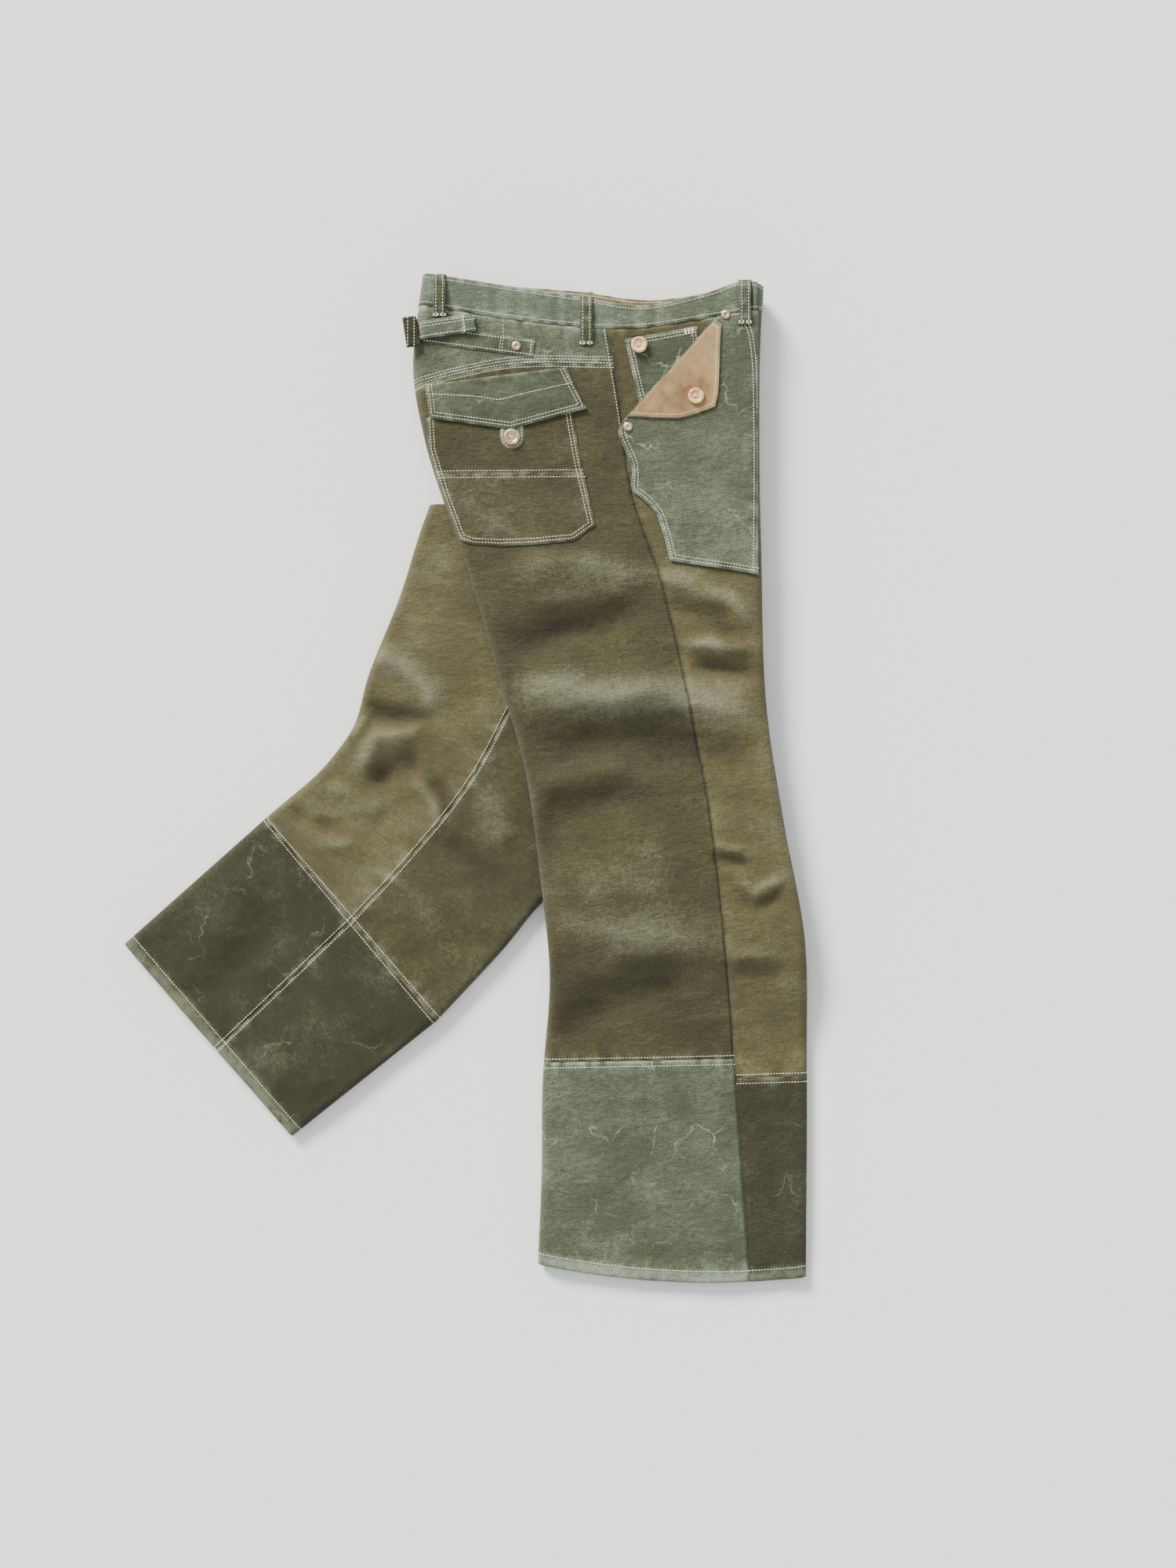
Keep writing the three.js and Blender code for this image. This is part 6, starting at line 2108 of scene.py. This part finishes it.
    def sew_pockets(self, side: Side, back: BackPocket, front: FrontPocket) -> None:
        """Stitches the pockets and flaps of one side.

        Args:
            side: The side.
            back: Its back pocket.
            front: Its front pocket.
        """
        word, up = side.value, side is Side.RIGHT
        flap = Body.RIGHT_BACK_FLAP if up else Body.LEFT_BACK_FLAP
        r, mid = back.reach, 0.56 * back.reach
        edge = [back.on_flap(*q) for q in ((0, 0.6), (0, 36), (mid, 58.5), (r + 17, 46.8), (r, 0.6))]
        for k in (2.9, 6.4):
            self.row(f"back_flap_{word}", offset(edge, k), up, flap)
        self.row(f"back_flap_{word}", rounded([(-42, 417), (11, 414.4), (38, 411), (63, 417), (116, 429)], 6), up, flap)
        bx, by = back.button
        arc = [(bx + 10.4 * math.cos(t), by + 10.4 * math.sin(t)) for t in np.linspace(math.pi, 2 * math.pi, 14)]
        self.row(f"flap_tab_{word}", [(bx - 10.4, by + 14), *arc, (bx + 10.4, by + 14)], up, flap)
        edges = back.pocket_outline()
        edge = edges["left"] + edges["foot"][1:] + edges["right"][::-1][1:]
        for k in (2.9, 6.6):
            self.row(f"back_pocket_{word}", offset(edge, k), up)
        for y in (334.6, 327.2):
            self.row(f"back_pocket_{word}", [(-30, y - 0.8), (140, y + 0.9)], up)
        a, b, c, d = front.coin_edges()
        for k in (2.8, 6.2):
            self.row(f"coin_pocket_{word}", offset([c, b, a, d], k), up, proud=-0.05)
        self.tack(f"coin_pocket_{word}", (239.5, 485.2), (247, 486.6), up, rows=9, proud=-0.1)
        edges = front.patch_edges()
        edge = np.concatenate([edges["left"], edges["foot"][1:]])
        for k in (3.0, 6.6):
            self.row(f"front_patch_{word}", offset(edge, k), up)
        fly = rounded([(299, 497), (306, 488), (310, 470), (312.5, 443), (313.5, 397), (314, 330), (313, 226)], 8)
        self.row(f"front_patch_{word}", fly, up)
        self.row(f"front_patch_{word}", offset(fly[: len(fly) * 2 // 3], 4), up)
        corner = Body.RIGHT_CORNER if up else Body.LEFT_CORNER
        outline = front.flap_outline()
        if not up:
            outline = [front.from_mouth(q[0], -q[1]) for q in map(front.to_mouth, outline)]
        inward = -4.4 if up else 4.4
        for cloth, face in (("lining", up), ("flap", not up)):
            self.row(f"corner_{cloth}_{word}", offset(outline, inward), face if up else not face, corner, proud=-0.2)
        if up:
            self.tack("corner_lining_right", (243.5, 425.5), (238.5, 421), True, corner, "red", proud=-0.1)

    def sew_right_leg(self, panels: Panels) -> None:
        """Stitches the cuff seams, hem and inseam of the right leg."""
        p, x = self.pattern, np.linspace(70, 380, 60)
        for word, line in (("back", panels.cuff_back), ("front", panels.cuff_front)):
            for up in (True, False):
                self.row(f"{word}_panel_right", np.stack([x, line(x) + 3.6], 1), up)
                self.row(f"{word}_cuff_right", np.stack([x, line(x) - 6.0], 1), up)
                self.row(f"{word}_cuff_right", np.stack([x, p.hem(x) + 12.0], 1), up)
            sign = -1 if word == "back" else 1
            y = np.linspace(240, -535, 60)
            middle = (p.seat_fold(y) + p.fly_fold(y)) / 2
            for cloth in ("panel", "cuff"):
                self.row(f"{word}_{cloth}_right", np.stack([middle + 3.4 * sign, y], 1), False)

    def sew_left_leg(self) -> None:
        """Stitches the inseam, cuff seam and hem of the left leg."""
        leg = self.leg
        seam, hem = float(leg.runs[-2]), float(leg.runs[-1])
        run = np.linspace(110, hem - 1, 90)
        seat, fly = leg.edges(run)
        width = np.linalg.norm(fly - seat, axis=1)
        share = np.linspace(0.004, 0.996, 90)
        for word, sign in (("back", -1), ("front", 1)):
            line = leg.place(run, leg.share("inner", run) + sign * 2.9 / width)
            for cloth in ("leg", "cuff"):
                self.row(f"{word}_{cloth}_left", line[:, :2], True, None)
            for up in (True, False):
                for cloth, at in (("leg", seam - 3.2), ("cuff", seam + 3.6), ("cuff", hem - 12)):
                    self.row(f"{word}_{cloth}_left", leg.place(at, share)[:, :2], up, None)


# ---- Studio -------------------------------------------------------------------------------------


@dataclass
class Studio:
    """A pale floor, a window-like light from the upper left, a soft fill and the camera overhead."""

    aim: tuple[float, float] = (133.9, -5.1)
    distance: float = 2500.0
    lens: float = 52.94

    def lamp(self, name: str, at: tuple[float, float, float], soft: float, power: float, tint: str) -> None:
        """Adds a far, broad light that faces the garment, as even as a wall of windows.

        Args:
            name: Its name.
            at: Its place in metres.
            soft: The angle that it fills, in radians.
            power: Its strength.
            tint: Its colour.
        """
        data = bpy.data.lights.new(name, "SUN")
        data.angle = soft
        data.energy = power
        data.color = linear(tint)[:3]
        lamp = bpy.data.objects.new(name, data)
        lamp.location = at
        target = np.array([0.1, 0.0, 0.0]) - np.array(at)
        lamp.rotation_mode = "QUATERNION"
        lamp.rotation_quaternion = Vector(target).to_track_quat("-Z", "Y")
        bpy.context.scene.collection.objects.link(lamp)

    def build(self, high: float) -> None:
        """Builds the stage.

        Args:
            high: Height of the garment's middle, where the camera's field is measured.
        """
        verts = np.array([[-60000, -60000, -0.4], [60000, -60000, -0.4], [60000, 60000, -0.4], [-60000, 60000, -0.4]], float)
        floor = make_mesh("floor", verts, np.array([[0, 1, 2, 3]]))
        floor.data.materials.append(Shader("pale_floor", Base_Color=linear("#f2f2f0"), Roughness=0.9).material)
        world = bpy.data.worlds.new("studio")
        world.use_nodes = True
        world.node_tree.nodes["Background"].inputs[0].default_value = linear("#f4f6f8")
        world.node_tree.nodes["Background"].inputs[1].default_value = 1.15
        bpy.context.scene.world = world
        self.lamp("window", (-0.55, 1.0, 0.6), 0.36, 8.6, "#fffaf2")
        data = bpy.data.cameras.new("overhead")
        data.lens = self.lens
        data.sensor_fit = "AUTO"
        data.sensor_width = 36.0
        data.clip_start, data.clip_end = 0.05, 30.0
        camera = bpy.data.objects.new("overhead", data)
        camera.location = (self.aim[0] * MM, self.aim[1] * MM, (self.distance + high) * MM)
        bpy.context.scene.collection.objects.link(camera)
        bpy.context.scene.camera = camera


def main() -> None:
    """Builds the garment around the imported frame."""
    logging.basicConfig(level=logging.INFO, format="%(name)s: %(message)s")
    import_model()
    pattern = Pattern()
    leg = LeftLeg(pattern)
    finishes = Finishes()
    room = Workroom()
    panels = Panels(pattern, leg, finishes, room)
    panels.build()
    waist, back, front = (kind(pattern, finishes, room) for kind in (Waist, BackPocket, FrontPocket))
    waist.build_band()
    waist.build_cinch()
    waist.build_fly()
    for side in Side:
        waist.build_loops(side)
        back.build(side)
        front.build(side)
    Hardware(pattern, finishes, room).build()
    stitching = Stitching(pattern, leg, finishes, room)
    for side in Side:
        stitching.sew_waist(side)
        stitching.sew_pockets(side, back, front)
    stitching.sew_tail()
    stitching.sew_right_leg(panels)
    stitching.sew_left_leg()
    stitching.finish()
    Studio().build(pattern.hip_top)
    log.info("%d pieces", len(room.made))


if __name__ == "__main__":
    main()
